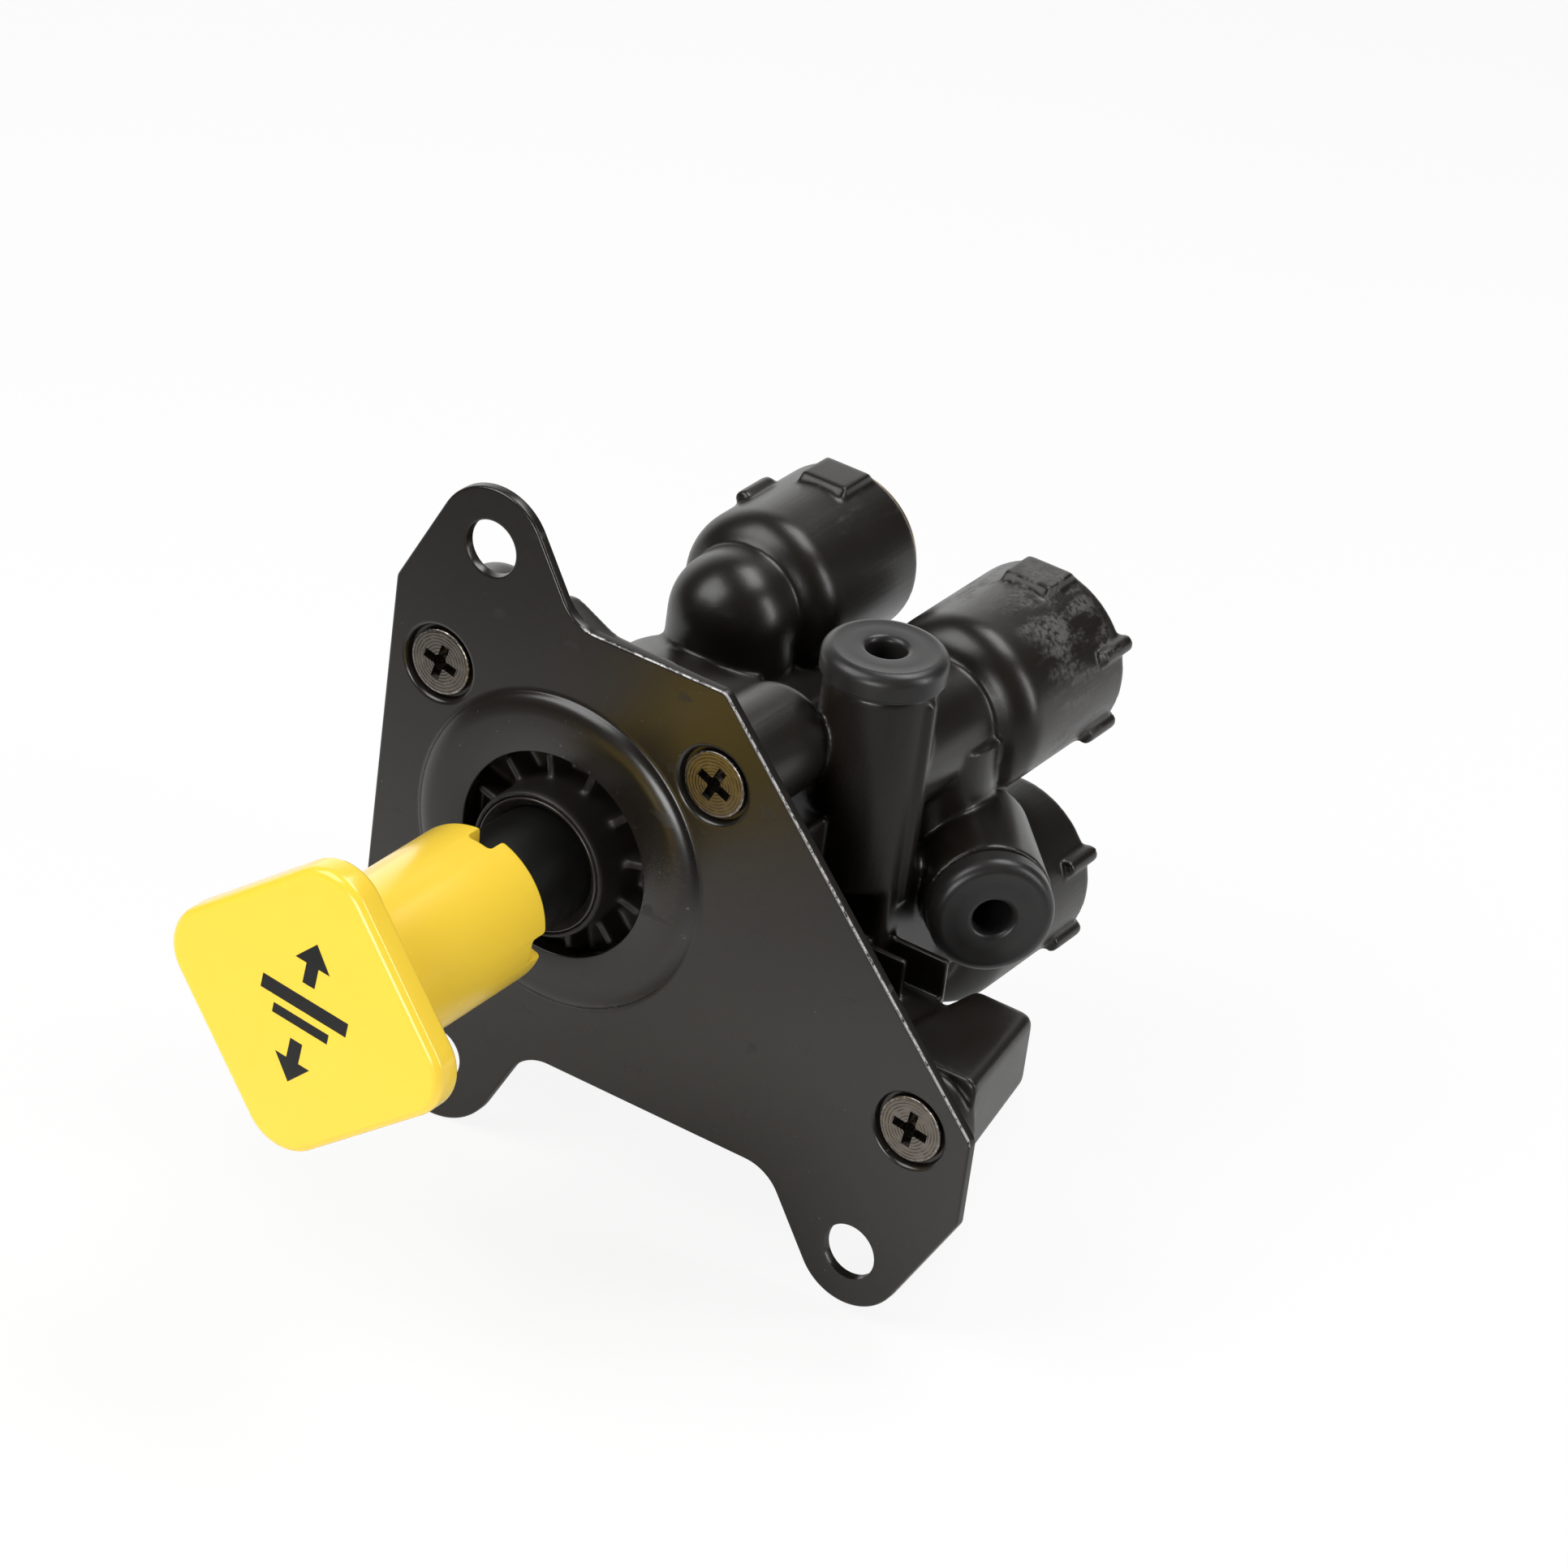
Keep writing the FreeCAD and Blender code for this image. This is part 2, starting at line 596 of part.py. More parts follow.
def housing():
    body = slab(flange_corners(), PLATE_T, FLANGE_T)
    body = body.fuse(rod_y(SCREW_ARM_X, SCREW_ARM_Z, ARM_PAD_R, PLATE_T, FLANGE_Y))
    body = body.fuse(along_y(turned([
        (0, PLATE_T),
        (MAIN_R, PLATE_T),
        (MAIN_R, MAIN_STEP_Y - 0.8),
        (MAIN_REAR_R, MAIN_STEP_Y),
        (MAIN_REAR_R, MAIN_REAR_Y - 1.5),
        (MAIN_REAR_R - 1.5, MAIN_REAR_Y),
        (0, MAIN_REAR_Y),
    ])))
    boss = turned([
        (0, PLATE_T),
        (BOSS_R, PLATE_T),
        (BOSS_R, FLANGE_Y + BOSS_L - BOSS_DOME),
        arc_via(BOSS_R - BOSS_DOME, FLANGE_Y + BOSS_L - BOSS_DOME, BOSS_DOME, 45),
        (BOSS_R - BOSS_DOME, FLANGE_Y + BOSS_L),
        (0, FLANGE_Y + BOSS_L),
    ])
    for name, x, z in SCREWS[:3]:
        lift = BOSS_LIFT if z > 0 else -BOSS_LIFT
        body = body.fuse(along_y(boss, x, z + lift))
    body = body.fuse(screw_arm())
    bridge = box(SCREW_MID_X - 4, ARM_RIGHT_X - ARM_W / 2, FLANGE_Y - 1, FLANGE_Y + ARM_L - 6,
                 ARM_BOTTOM_Z + 2, ARM_TOP_Z - 2)
    body = body.fuse(bridge)

    for side in (1, -1):
        lugs = [angle if side > 0 else -angle for angle in EXHAUST_LUGS]
        body = body.fuse(port_barrel(EXHAUST_X, side * EXHAUST_Z, EXHAUST_R,
                                     EXHAUST_REAR_Y, EXHAUST_NECK_Y, lugs, LUG_AHEAD))
        body = body.fuse(port_barrel(SUPPLY_X, side * SUPPLY_Z, SUPPLY_R,
                                     SUPPLY_REAR_Y, SUPPLY_NECK_Y, SUPPLY_LUGS, 0))
        body = body.fuse(elbow(EXHAUST_X, side * EXHAUST_Z, EXHAUST_NOSE_Y, EXHAUST_NECK_Y + 2))
        start = TOP_Y if side > 0 else CORE_Y - CORE_R + 4
        body = body.fuse(rod_y(SUPPLY_X, side * SUPPLY_Z, NECK_R, start, SUPPLY_NECK_Y + 2))
    core = Part.makeCylinder(CORE_R, 2 * SUPPLY_Z, V(SUPPLY_X, CORE_Y, -SUPPLY_Z), V(0, 0, 1))
    body = body.fuse(core)
    web = box(0, SUPPLY_X, WEB_FRONT_Y, WEB_REAR_Y, -WEB_Z, WEB_Z)
    body = body.fuse(web)
    shelf = box(0, SHELF_RIGHT_X, SHELF_FRONT_Y, CORE_Y, SHELF_LOW_Z, SHELF_TOP_Z)
    body = body.fuse(shelf.makeFillet(2, [e for e in shelf.Edges if e.BoundBox.XMin > SHELF_RIGHT_X - 0.1]))
    top = Part.makeCylinder(TOP_BOSS_R, TOP_Z - CAP_H - TOP_BOSS_END_Z,
                            V(TOP_X, TOP_Y, TOP_BOSS_END_Z), V(0, 0, 1))
    body = body.fuse(top)
    rib = box(TOP_X, TOP_X + TOP_BOSS_R + TOP_RIB_H, TOP_Y - TOP_RIB_W / 2, TOP_Y + TOP_RIB_W / 2,
              SIDE_Z, TOP_Z - CAP_H - 1.5)
    body = body.fuse(rib)
    direction = side_direction()
    start = V(SIDE_X, SIDE_Y, SIDE_Z) - V(*direction) * CAP_H
    side_boss = Part.makeCylinder(SIDE_BOSS_R, SIDE_BOSS_L, start, V(*direction) * -1)
    body = body.fuse(side_boss)
    for i in range(GUSSET_COUNT):
        y = FLANGE_Y + ARM_L - 4 - i * GUSSET_PITCH
        gusset = box(SUPPLY_X, SIDE_X - 3 - i * GUSSET_PITCH, y - GUSSET_W, y, ARM_BOTTOM_Z + 3, SIDE_Z - 6)
        body = body.fuse(gusset)

    # collar in front of the flange, the well round it and the short ribs in the well
    body = body.cut(along_y(turned([
        (0, PLATE_T - 1),
        (MOUTH_R + 1.5, PLATE_T - 1),
        (MOUTH_R + 1.5, WELL_Y + 2),
        (0, WELL_Y + 2),
    ])))
    collar = along_y(turned([
        (0, WELL_Y + 3),
        (COLLAR_R, WELL_Y + 3),
        (COLLAR_R, COLLAR_Y + COLLAR_ROUND),
        arc_via(COLLAR_R - COLLAR_ROUND, COLLAR_Y + COLLAR_ROUND, COLLAR_ROUND, -45),
        (COLLAR_R - COLLAR_ROUND, COLLAR_Y),
        (0, COLLAR_Y),
    ]))
    body = body.fuse(collar)
    for i in range(RIB_COUNT):
        rib = box(COLLAR_R - 0.5, MOUTH_R + 2.5, RIB_Y, WELL_Y + 3, -RIB_W / 2, RIB_W / 2)
        rib = rib.cut(box(MOUTH_R - 0.4, MOUTH_R + 4, RIB_Y - 1, PLATE_T, -RIB_W, RIB_W))
        body = body.fuse(turn_about_y(rib, 360.0 / RIB_COUNT * i + RIB_TURN))

    # bores
    body = body.cut(along_y(turned([
        (0, COLLAR_Y - 1),
        (GUIDE_R + SEAT_GAP, COLLAR_Y - 1),
        (GUIDE_R + SEAT_GAP, BORE_END_Y),
        (TAIL_R + 1.4, BORE_END_Y),
        (TAIL_R + 1.4, BORE_END_Y + TAIL_L + 1),
        (0, BORE_END_Y + TAIL_L + 1),
    ])))
    for name, x, z, rear in PORTS:
        body = body.cut(port_bore(x, z, rear))
    for name, x, z in SCREWS:
        body = body.cut(rod_y(x, z, SCREW_R + SEAT_GAP, 0, SCREW_L + 1))
        body = body.cut(rod_y(x, z, THROAT_R + SEAT_GAP, 0, DIMPLE_H + cone_depth(SCREW_R) + 0.3))
        body = body.cut(rod_y(x, z, DIMPLE_R + SEAT_GAP, 0, DIMPLE_H + cone_depth(THROAT_R) + 0.2))
    body = body.cut(placed(boss_chamber(), (TOP_X, TOP_Y, TOP_Z), (0, 0, 1)))
    body = body.cut(placed(boss_chamber(), (SIDE_X, SIDE_Y, SIDE_Z), direction))
    return body.removeSplitter()


def plunger():
    """Stem, guided shaft and ringed piston; the guide in the collar stops the piston."""
    half = GROOVE_W / 2
    step = SKIRT_END_Y - SKIRT_BORE_L
    piston = GUIDE_REAR_Y + PISTON_REST
    profile = [
        (0, STEM_FRONT_Y),
        (STEM_R - 0.6, STEM_FRONT_Y),
        (STEM_R, STEM_FRONT_Y + 0.6),
        (STEM_R, step),
        (PLUNGER_R, step),
        (PLUNGER_R, piston),
        (PISTON_R, piston),
    ]
    for y in GROOVE_YS:
        profile += [
            (PISTON_R, y - half),
            (PISTON_R - GROOVE_H, y - half),
            (PISTON_R - GROOVE_H, y + half),
            (PISTON_R, y + half),
        ]
    profile += [
        (PISTON_R, PLUNGER_REAR_Y),
        (TAIL_R, PLUNGER_REAR_Y),
        (TAIL_R, PLUNGER_REAR_Y + TAIL_L),
        (0, PLUNGER_REAR_Y + TAIL_L),
    ]
    return along_y(turned(profile)).cut(pin_hole())


def plunger_guide():
    """Sleeve in the mouth of the collar, with a bright bevel round the plunger."""
    front = COLLAR_Y + 0.3
    return along_y(turned([
        (GUIDE_R, front),
        (GUIDE_R, GUIDE_REAR_Y),
        (BORE_R, GUIDE_REAR_Y),
        (BORE_R, front + GUIDE_BEVEL),
        (GUIDE_R - 0.3, front),
    ]))


def pin_hole(gap=0.02):
    """Blind cross hole for the roll pin, from under the knob's skirt through the plunger's stem."""
    turn = FreeCAD.Rotation(V(0, 1, 0), KNOB_TURN)
    down = turn.multVec(V(0, 0, -1))
    start = V(0, PIN_Y, 0) + down * (SKIRT_R + 1)
    return Part.makeCylinder(PIN_R + gap, PIN_L + 1.5, start, down * -1)


def roll_pin():
    turn = FreeCAD.Rotation(V(0, 1, 0), KNOB_TURN)
    down = turn.multVec(V(0, 0, -1))
    start = V(0, PIN_Y, 0) + down * (SKIRT_R - 0.6)
    pin = Part.makeCylinder(PIN_R, PIN_L - 0.6, start, down * -1)
    return pin.cut(Part.makeCylinder(PIN_R - 0.5, PIN_L + 2, start + down, down * -1))


def knob():
    half = KNOB_SIDE / 2
    corners = [
        (-half, half, KNOB_CORNER_R),
        (half, half, KNOB_CORNER_R),
        (half, -half, KNOB_CORNER_R),
        (-half, -half, KNOB_CORNER_R),
    ]
    head = slab(corners, KNOB_FRONT_Y, KNOB_T)
    head = head.makeFillet(KNOB_EDGE_R, [e for e in head.Edges if e.BoundBox.YLength < 1e-6])
    head = turn_about_y(head, KNOB_TURN)
    back = KNOB_FRONT_Y + KNOB_T
    skirt = rod_y(0, 0, SKIRT_R, back - 0.5, SKIRT_END_Y)
    skirt = skirt.makeFillet(SKIRT_ROUND, [e for e in skirt.Edges if e.BoundBox.YMin > SKIRT_END_Y - 1e-3])
    body = head.fuse(skirt)
    body = body.cut(rod_y(0, 0, STEM_R + SEAT_GAP, STEM_FRONT_Y, SKIRT_END_Y + 1))
    body = body.cut(rod_y(0, 0, SKIRT_BORE_R, SKIRT_END_Y - SKIRT_BORE_L, SKIRT_END_Y + 1))
    for i in range(4):
        notch = box(SKIRT_BORE_R - 3, SKIRT_R + 2, SKIRT_END_Y - NOTCH_L, SKIRT_END_Y + 2,
                    -NOTCH_W / 2, NOTCH_W / 2)
        bottom = [e for e in notch.Edges if e.BoundBox.YMax < SKIRT_END_Y - NOTCH_L + 1e-3
                  and e.BoundBox.ZLength < 1e-3]
        notch = notch.makeFillet(NOTCH_ROUND, bottom)
        body = body.cut(turn_about_y(notch, KNOB_TURN - 45 + 90 * i))
    return body.cut(pin_hole()).removeSplitter()


def plunger_ring(y):
    """Rubber ring that fills a groove of the plunger and runs in the bore."""
    section = (GROOVE_H - 0.1) / 2 + 0.02
    return along_y(Part.makeTorus(GUIDE_R + SEAT_GAP - 0.06 - section, section), 0, 0, y)


def plunger_spring():
    """Return spring between the plunger's rear face and the floor of its bore."""
    start = PLUNGER_REAR_Y + SPRING_WIRE_R + 0.05
    length = BORE_END_Y - PLUNGER_REAR_Y - 2 * SPRING_WIRE_R - 0.1
    helix = Part.makeHelix(length / SPRING_TURNS, length, SPRING_R)
    circle = Part.Wire(Part.makeCircle(SPRING_WIRE_R, V(SPRING_R, 0, 0), V(0, 1, 0)))
    coil = Part.Wire(helix).makePipeShell([circle], True, True)
    return along_y(coil, 0, 0, start)


def cartridge(x, z, rear):
    """Retainer pressed into the barrel; the collet slides in it."""
    seat = rear - CARTRIDGE_L + CARTRIDGE_FACE
    lip = rear + CARTRIDGE_FACE
    back = lip + CARTRIDGE_LIP_T
    return along_y(turned([
        (COLLET_R + SLIDE_GAP, seat + 2.6),
        (COLLET_R + SLIDE_GAP, back - 0.6),
        (COLLET_R + SLIDE_GAP + 0.6, back),
        (CARTRIDGE_LIP_R - 0.5, back),
        (CARTRIDGE_LIP_R, back - 0.5),
        (CARTRIDGE_LIP_R, lip),
        (CARTRIDGE_R, lip),
        (CARTRIDGE_R, seat),
        (COLLET_R + 1.8, seat),
    ]), x, z)


def collet(x, z, rear):
    """Brass release collet with a rounded lip that stands clear of the cartridge by its travel."""
    lip = rear + CARTRIDGE_FACE + CARTRIDGE_LIP_T + COLLET_TRAVEL + 0.05
    inner = TUBE_R + TUBE_GAP
    return along_y(turned([
        (inner, lip - COLLET_L + COLLET_LIP_T),
        (COLLET_R - 0.4, lip - COLLET_L + COLLET_LIP_T),
        (COLLET_R, lip - COLLET_L + COLLET_LIP_T + 1.2),
        (COLLET_R, lip),
        (COLLET_LIP_R, lip),
        (COLLET_LIP_R, lip + COLLET_LIP_T - 0.8),
        ("via", COLLET_LIP_R - 0.24, lip + COLLET_LIP_T - 0.24),
        (COLLET_LIP_R - 0.8, lip + COLLET_LIP_T),
        (inner + 1.0, lip + COLLET_LIP_T),
        (inner, lip + COLLET_LIP_T - 1.0),
    ]), x, z)


def tube_ring(x, z, rear):
    seat = rear - CARTRIDGE_L + CARTRIDGE_FACE
    floor = seat - SOCKET_L / 2
    return along_y(Part.makeTorus(SOCKET_R - 0.05 - RING_SECTION_R, RING_SECTION_R), x, z,
                   floor + RING_SECTION_R + 0.02)


def save(name, shape):
    if shape.ShapeType != "Solid" and len(shape.Solids) == 1:
        shape = shape.Solids[0]
    shape = shape.copy()
    shape.translate(V(-ORIGIN_X, 0, 0))
    shape.exportStep("parts/" + name + ".step")
    print(name, len(shape.Solids), shape.isValid(), round(shape.Volume, 1), len(shape.Faces))


def main():
    os.makedirs("parts", exist_ok=True)
    save("housing", housing())
    save("mounting_plate", mounting_plate())
    for name, x, z in SCREWS:
        save("plate_screw_" + name, plate_screw(x, z))
    save("knob", knob())
    save("roll_pin", roll_pin())
    save("plunger", plunger())
    save("plunger_guide", plunger_guide())
    for i in range(len(GROOVE_YS)):
        save("plunger_ring_%d" % (i + 1), plunger_ring(GROOVE_YS[i]))
    save("plunger_spring", plunger_spring())
    save("top_cap", placed(boss_cap(), (TOP_X, TOP_Y, TOP_Z), (0, 0, 1)))
    save("side_cap", placed(boss_cap(), (SIDE_X, SIDE_Y, SIDE_Z), side_direction()))
    save("top_shuttle", placed(shuttle(), (TOP_X, TOP_Y, TOP_Z), (0, 0, 1)))
    save("side_shuttle", placed(shuttle(), (SIDE_X, SIDE_Y, SIDE_Z), side_direction()))
    for name, x, z, rear in PORTS:
        save("cartridge_" + name, cartridge(x, z, rear))
        save("collet_" + name, collet(x, z, rear))
        save("tube_ring_" + name, tube_ring(x, z, rear))


main()
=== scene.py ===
import math

import bmesh
import bpy
from mathutils import Matrix, Vector
from mathutils.geometry import delaunay_2d_cdt


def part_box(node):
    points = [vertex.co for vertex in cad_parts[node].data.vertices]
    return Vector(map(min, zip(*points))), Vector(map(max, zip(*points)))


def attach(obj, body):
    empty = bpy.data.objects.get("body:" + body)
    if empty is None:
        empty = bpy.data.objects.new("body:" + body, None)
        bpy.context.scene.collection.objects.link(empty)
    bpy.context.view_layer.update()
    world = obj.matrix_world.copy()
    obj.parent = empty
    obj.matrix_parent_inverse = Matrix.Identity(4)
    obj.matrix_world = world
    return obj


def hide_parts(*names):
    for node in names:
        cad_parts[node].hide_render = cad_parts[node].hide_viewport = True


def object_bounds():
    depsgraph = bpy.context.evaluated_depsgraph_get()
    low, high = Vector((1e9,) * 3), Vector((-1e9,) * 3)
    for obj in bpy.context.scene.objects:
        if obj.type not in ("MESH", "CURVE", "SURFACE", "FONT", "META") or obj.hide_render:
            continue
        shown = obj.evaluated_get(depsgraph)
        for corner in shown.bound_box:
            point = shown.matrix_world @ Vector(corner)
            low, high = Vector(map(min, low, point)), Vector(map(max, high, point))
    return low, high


# Air brake dash control valve. Lengths are in millimetres on the valve's own axes: the plunger
# runs along Y, y = 0 is the front face of the plate, +X is right and +Z up, seen from the knob.

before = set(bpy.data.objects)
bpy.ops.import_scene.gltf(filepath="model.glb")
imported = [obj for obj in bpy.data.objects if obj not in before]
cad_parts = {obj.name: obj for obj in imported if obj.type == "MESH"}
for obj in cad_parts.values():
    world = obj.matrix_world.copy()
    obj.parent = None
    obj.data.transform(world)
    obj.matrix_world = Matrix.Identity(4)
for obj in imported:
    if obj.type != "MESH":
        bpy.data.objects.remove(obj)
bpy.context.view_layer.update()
low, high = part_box("plunger")
AXIS_X = (low.x + high.x) / 2        # plunger axis in the frame, in metres

# Camera of the photograph
CAMERA_AT = (485.2, -771.4, 544.8)
CAMERA_TURN = 29.96
CAMERA_RISE = 30.03
CAMERA_ROLL = 7.89
CAMERA_LENS = 148.66

# Plate
PLATE_T = 2.0
EDGE_R = 0.45
REAR_EDGE = 0.2
HOLE_LIP = 0.3
FLAT = 0.1              # narrow level band round each hole, ring and dimple
HOLES = ((-19.6, 48.7), (-19.6, -48.7), (64.6, -48.7))
HOLE_R = 4.9
EARS = (10.7, 12.0, 10.0)
PLATE_LEFT = -37.3
PLATE_RIGHT = 83.6
PLATE_TOP = 41.4
PLATE_LOW = -40.7
CUT_X = 27.7
CUT_Z = -18.6
BEND_LEFT_Z = 36.8
BEND_RIGHT_Z = 34.6
EAR_INNER = 17.4
EAR_FILLET = 8.0
CORNER_R = 2.5
MOUTH_R = 18.1
RING_TOP_R = 23.4
RING_FOOT_R = 28.8
RING_H = 1.8

# Screws
SCREWS = ((-27.3, 24.2, 14), (-27.3, -24.2, 51), (27.5, 24.2, 24), (72.2, -21.3, 8))
HEAD_R = 5.85
HEAD_Y = 0.9
HEAD_TOP = 0.4
DIMPLE_R = 7.4
THROAT_R = 4.2
CONE = 41.0

# Knob and plunger
KNOB_SIDE = 42.8
KNOB_FRONT = -68.76
KNOB_T = 5.8
KNOB_CORNER = 8.5
KNOB_TURN = 51.6        # clockwise, seen from the front
SKIRT_R = 14.0
SKIRT_BORE_R = 10.6
SKIRT_END = -22.6
BORE_DEPTH = 8.0
NOTCH_W = 4.8
NOTCH_L = 3.5
STEM_R = 6.05
PLUNGER_R = 9.9
PLUNGER_REAR = 33.0
LAND_R = 11.85
GROOVE_R = 9.45
GROOVE_HALF = 1.5
GROOVES = (12.0, 27.0)

# Tube ports as (name, x, z, rear), and the two caps
PORTS = (
    ("exhaust", 0.0, 27.0, 80.0),
    ("delivery", 0.0, -27.0, 80.0),
    ("supply_upper", 38.6, 20.7, 85.0),
    ("supply_lower", 38.6, -20.7, 85.0),
)
TOP_CAP = (39.5, 28.7, 43.4)
SIDE_CAP = (63.3, 34.6, -0.6)
SIDE_ANGLE = -47.0


def place(x, y, z):
    """A point of the valve's own axes in the frame, in metres."""
    return Vector((AXIS_X + x / 1000, y / 1000, z / 1000))


class Socket:
    """The output of a shader node. Sums written with it add the Math nodes."""

    def __init__(self, tree, output):
        self.tree = tree
        self.output = output

    def maths(self, operation, *values):
        return self.tree.node("ShaderNodeMath", {"operation": operation}, dict(enumerate(values)))

    def __add__(self, other):
        return self.maths("ADD", self, other)

    def __radd__(self, other):
        return self.maths("ADD", other, self)

    def __sub__(self, other):
        return self.maths("SUBTRACT", self, other)

    def __rsub__(self, other):
        return self.maths("SUBTRACT", other, self)

    def __mul__(self, other):
        return self.maths("MULTIPLY", self, other)

    def __rmul__(self, other):
        return self.maths("MULTIPLY", other, self)

    def __truediv__(self, other):
        return self.maths("DIVIDE", self, other)

    def over(self, start, end):
        """0 below start, 1 above end and a smooth rise between."""
        values = {"Value": self, "From Min": start, "From Max": end}
        return self.tree.node("ShaderNodeMapRange", {"interpolation_type": "SMOOTHSTEP"}, values)


class Finish:
    """A material with one Principled shader."""

    def __init__(self, name, colour, roughness, metallic=0.0, **fixed):
        self.material = bpy.data.materials.new(name)
        self.material.use_nodes = True
        self.material.diffuse_color = colour + (1,)
        self.nodes = self.material.node_tree.nodes
        self.links = self.material.node_tree.links
        self.shader = self.nodes["Principled BSDF"]
        self.put(self.shader, {"Base Color": colour + (1,), "Roughness": roughness, "Metallic": metallic})
        self.put(self.shader, fixed_sockets(fixed))

    def put(self, node, values):
        for key, value in values.items():
            socket = node.inputs[key]
            if isinstance(value, Socket):
                self.links.new(value.output, socket)
            else:
                socket.default_value = value

    def node(self, kind, settings, values, output=0):
        node = self.nodes.new(kind)
        for key, value in settings.items():
            setattr(node, key, value)
        self.put(node, values)
        return Socket(self, node.outputs[output])

    def where(self):
        return self.node("ShaderNodeTexCoord", {}, {}, "Object")

    def axes(self):
        """The place on the valve's own axes, in millimetres, as three numbers."""
        split = self.node("ShaderNodeSeparateXYZ", {}, {0: self.where()}).output.node
        x, y, z = [Socket(self, out) for out in split.outputs]
        return (x - AXIS_X) * 1000, y * 1000, z * 1000

    def noise(self, size, detail=3.0, stretch=(1, 1, 1), rough=0.5):
        """Noise from 0 to 1 whose blots are about size millimetres wide."""
        scale = {"Vector": self.where(), "Scale": stretch}
        spot = self.node("ShaderNodeMapping", {}, scale)
        values = {"Vector": spot, "Scale": 1000 / size, "Detail": detail, "Roughness": rough}
        return self.node("ShaderNodeTexNoise", {}, values)

    def mixed(self, mask, first, second):
        """Colour that goes from first to second as the mask goes from 0 to 1."""
        colours = {0: mask, 6: first, 7: second}
        return self.node("ShaderNodeMix", {"data_type": "RGBA"}, colours, 2)

    def bump(self, height, depth, before=None):
        values = {"Height": height, "Distance": depth / 1000, "Strength": 1.0}
        if before is not None:
            values["Normal"] = before
        return self.node("ShaderNodeBump", {}, values)

    def attribute(self, name, output="Fac"):
        return self.node("ShaderNodeAttribute", {"attribute_name": name}, {}, output)

    def turning_radius(self):
        """Distance from the axis on which the piece was turned, in metres."""
        centred = self.attribute("from_axis", "Vector")
        flat = self.node("ShaderNodeVectorMath", {"operation": "MULTIPLY"}, {0: centred, 1: (1, 0, 1)})
        return self.node("ShaderNodeVectorMath", {"operation": "LENGTH"}, {0: flat}, "Value")


def fixed_sockets(values):
    """Socket names from keyword names: coat_weight becomes Coat Weight."""
    names = {}
    for key, value in values.items():
        names[key.replace("_", " ").title().replace("Ior", "IOR")] = value
    return names


def shade(value, warm=0.0):
    """Grey of a value, made a little warmer by the second number."""
    return (value * (1 + warm), value, value * (1 - warm), 1)


def black_nylon():
    """Glass-filled moulding: semi-gloss with a fine skin, dusty scuffs, a rubbed supply barrel, and a
    painted sheen streaked along the top of the exhaust barrel.
    """
    nylon = Finish("black_nylon", (0.016, 0.0155, 0.0152), 0.4, specular_ior_level=0.5)
    x, y, z = nylon.axes()
    cloud = nylon.noise(9, 4)
    speck = nylon.noise(0.7, 2)
    streak = nylon.noise(3.2, 6, (1, 0.35, 1), 0.65)
    squared = x * x + z * z
    across = squared.maths("SQRT", squared)
    collar = (1 - across.over(18, 19)) * (1 - y.over(6, 12))
    barrel = x.over(24, 29) * y.over(60, 66) * (1 - y.over(80, 84)) * z.over(8, 20)
    rub = barrel * streak.over(0.42, 0.62) * nylon.noise(0.9, 3).over(0.3, 0.6)
    # Painted sheen: the top of the exhaust barrel is lightened in streaks, standing in for light falling
    # on it from above. The rub on the supply barrel is real dust.
    other = y.over(60, 66) * (1 - x.over(18, 22)) * z.over(34, 38)
    dust_and_sheen = rub * 0.9 + other * streak.over(0.55, 0.75) * 0.22 + cloud.over(0.6, 0.8) * 0.05
    colour = nylon.mixed(dust_and_sheen, shade(0.0075, 0.28), shade(0.085, 0.05))
    rough = 0.25 + cloud * 0.1 + speck * 0.05 + dust_and_sheen * 0.32 + collar * 0.18
    skin = nylon.bump(speck, 0.010)
    grain = nylon.bump(nylon.noise(0.22, 2) + dust_and_sheen * 1.5, 0.006, skin)
    nylon.put(nylon.shader, {"Base Color": colour, "Roughness": rough, "Normal": grain})
    return nylon.material


def coated_steel():
    """Black coating with a satin grain, a few dark finger marks and a bare bright cut edge."""
    steel = Finish("coated_plate_steel", (0.03, 0.028, 0.0265), 0.42, specular_ior_level=0.6)
    cloud = steel.noise(26, 3)
    fine = steel.noise(0.35, 2)
    mark = steel.noise(7, 2, (1, 1, 1.6)).over(0.66, 0.74)
    fleck = steel.noise(0.8, 1).over(0.76, 0.8)
    chip = steel.attribute("bare") * steel.noise(1.3, 5, (1, 1, 1), 0.75).over(0.4, 0.56)
    plain = steel.mixed(cloud, shade(0.007, 0.22), shade(0.0105, 0.22))
    marked = steel.mixed(mark * 0.5, plain, shade(0.006, 0.1))
    flecked = steel.mixed(fleck * 0.35, marked, shade(0.16))
    colour = steel.mixed(chip, flecked, shade(0.74, 0.02))
    rough = 0.2 + cloud * 0.06 + fine * 0.05 + mark * 0.2 + chip * 0.1
    normal = steel.bump(fine, 0.003, steel.bump(chip * -1.0, 0.03))
    steel.put(steel.shader, {"Base Color": colour, "Roughness": rough, "Metallic": chip * 0.7,
                             "Normal": normal})
    return steel.material


def turned_screw_steel():
    """Dark plated steel with fine rings from facing and small nicks."""
    steel = Finish("turned_screw_steel", (0.1, 0.08, 0.07), 0.3, 1.0)
    radius = steel.turning_radius()
    rings = radius.maths("SINE", radius * 11000 + steel.noise(2.5, 2) * 1.4)
    cloud = steel.noise(1.8, 5)
    nick = steel.noise(0.5, 3).over(0.64, 0.72)
    rim = radius.over(0.0052, 0.0056) * steel.noise(0.6, 4).over(0.5, 0.62)
    grooves = rings.over(0.1, 0.9) * cloud.over(0.3, 0.6)
    dark = steel.mixed(grooves, shade(0.17, 0.12), shade(0.06, 0.18))
    colour = steel.mixed(rim * 0.7 + nick * 0.25, dark, shade(0.42, 0.1))
    rough = 0.26 + cloud * 0.12
    normal = steel.bump(rings, 0.008, steel.bump(nick, 0.02))
    steel.put(steel.shader, {"Base Color": colour, "Roughness": rough, "Normal": normal})
    return steel.material


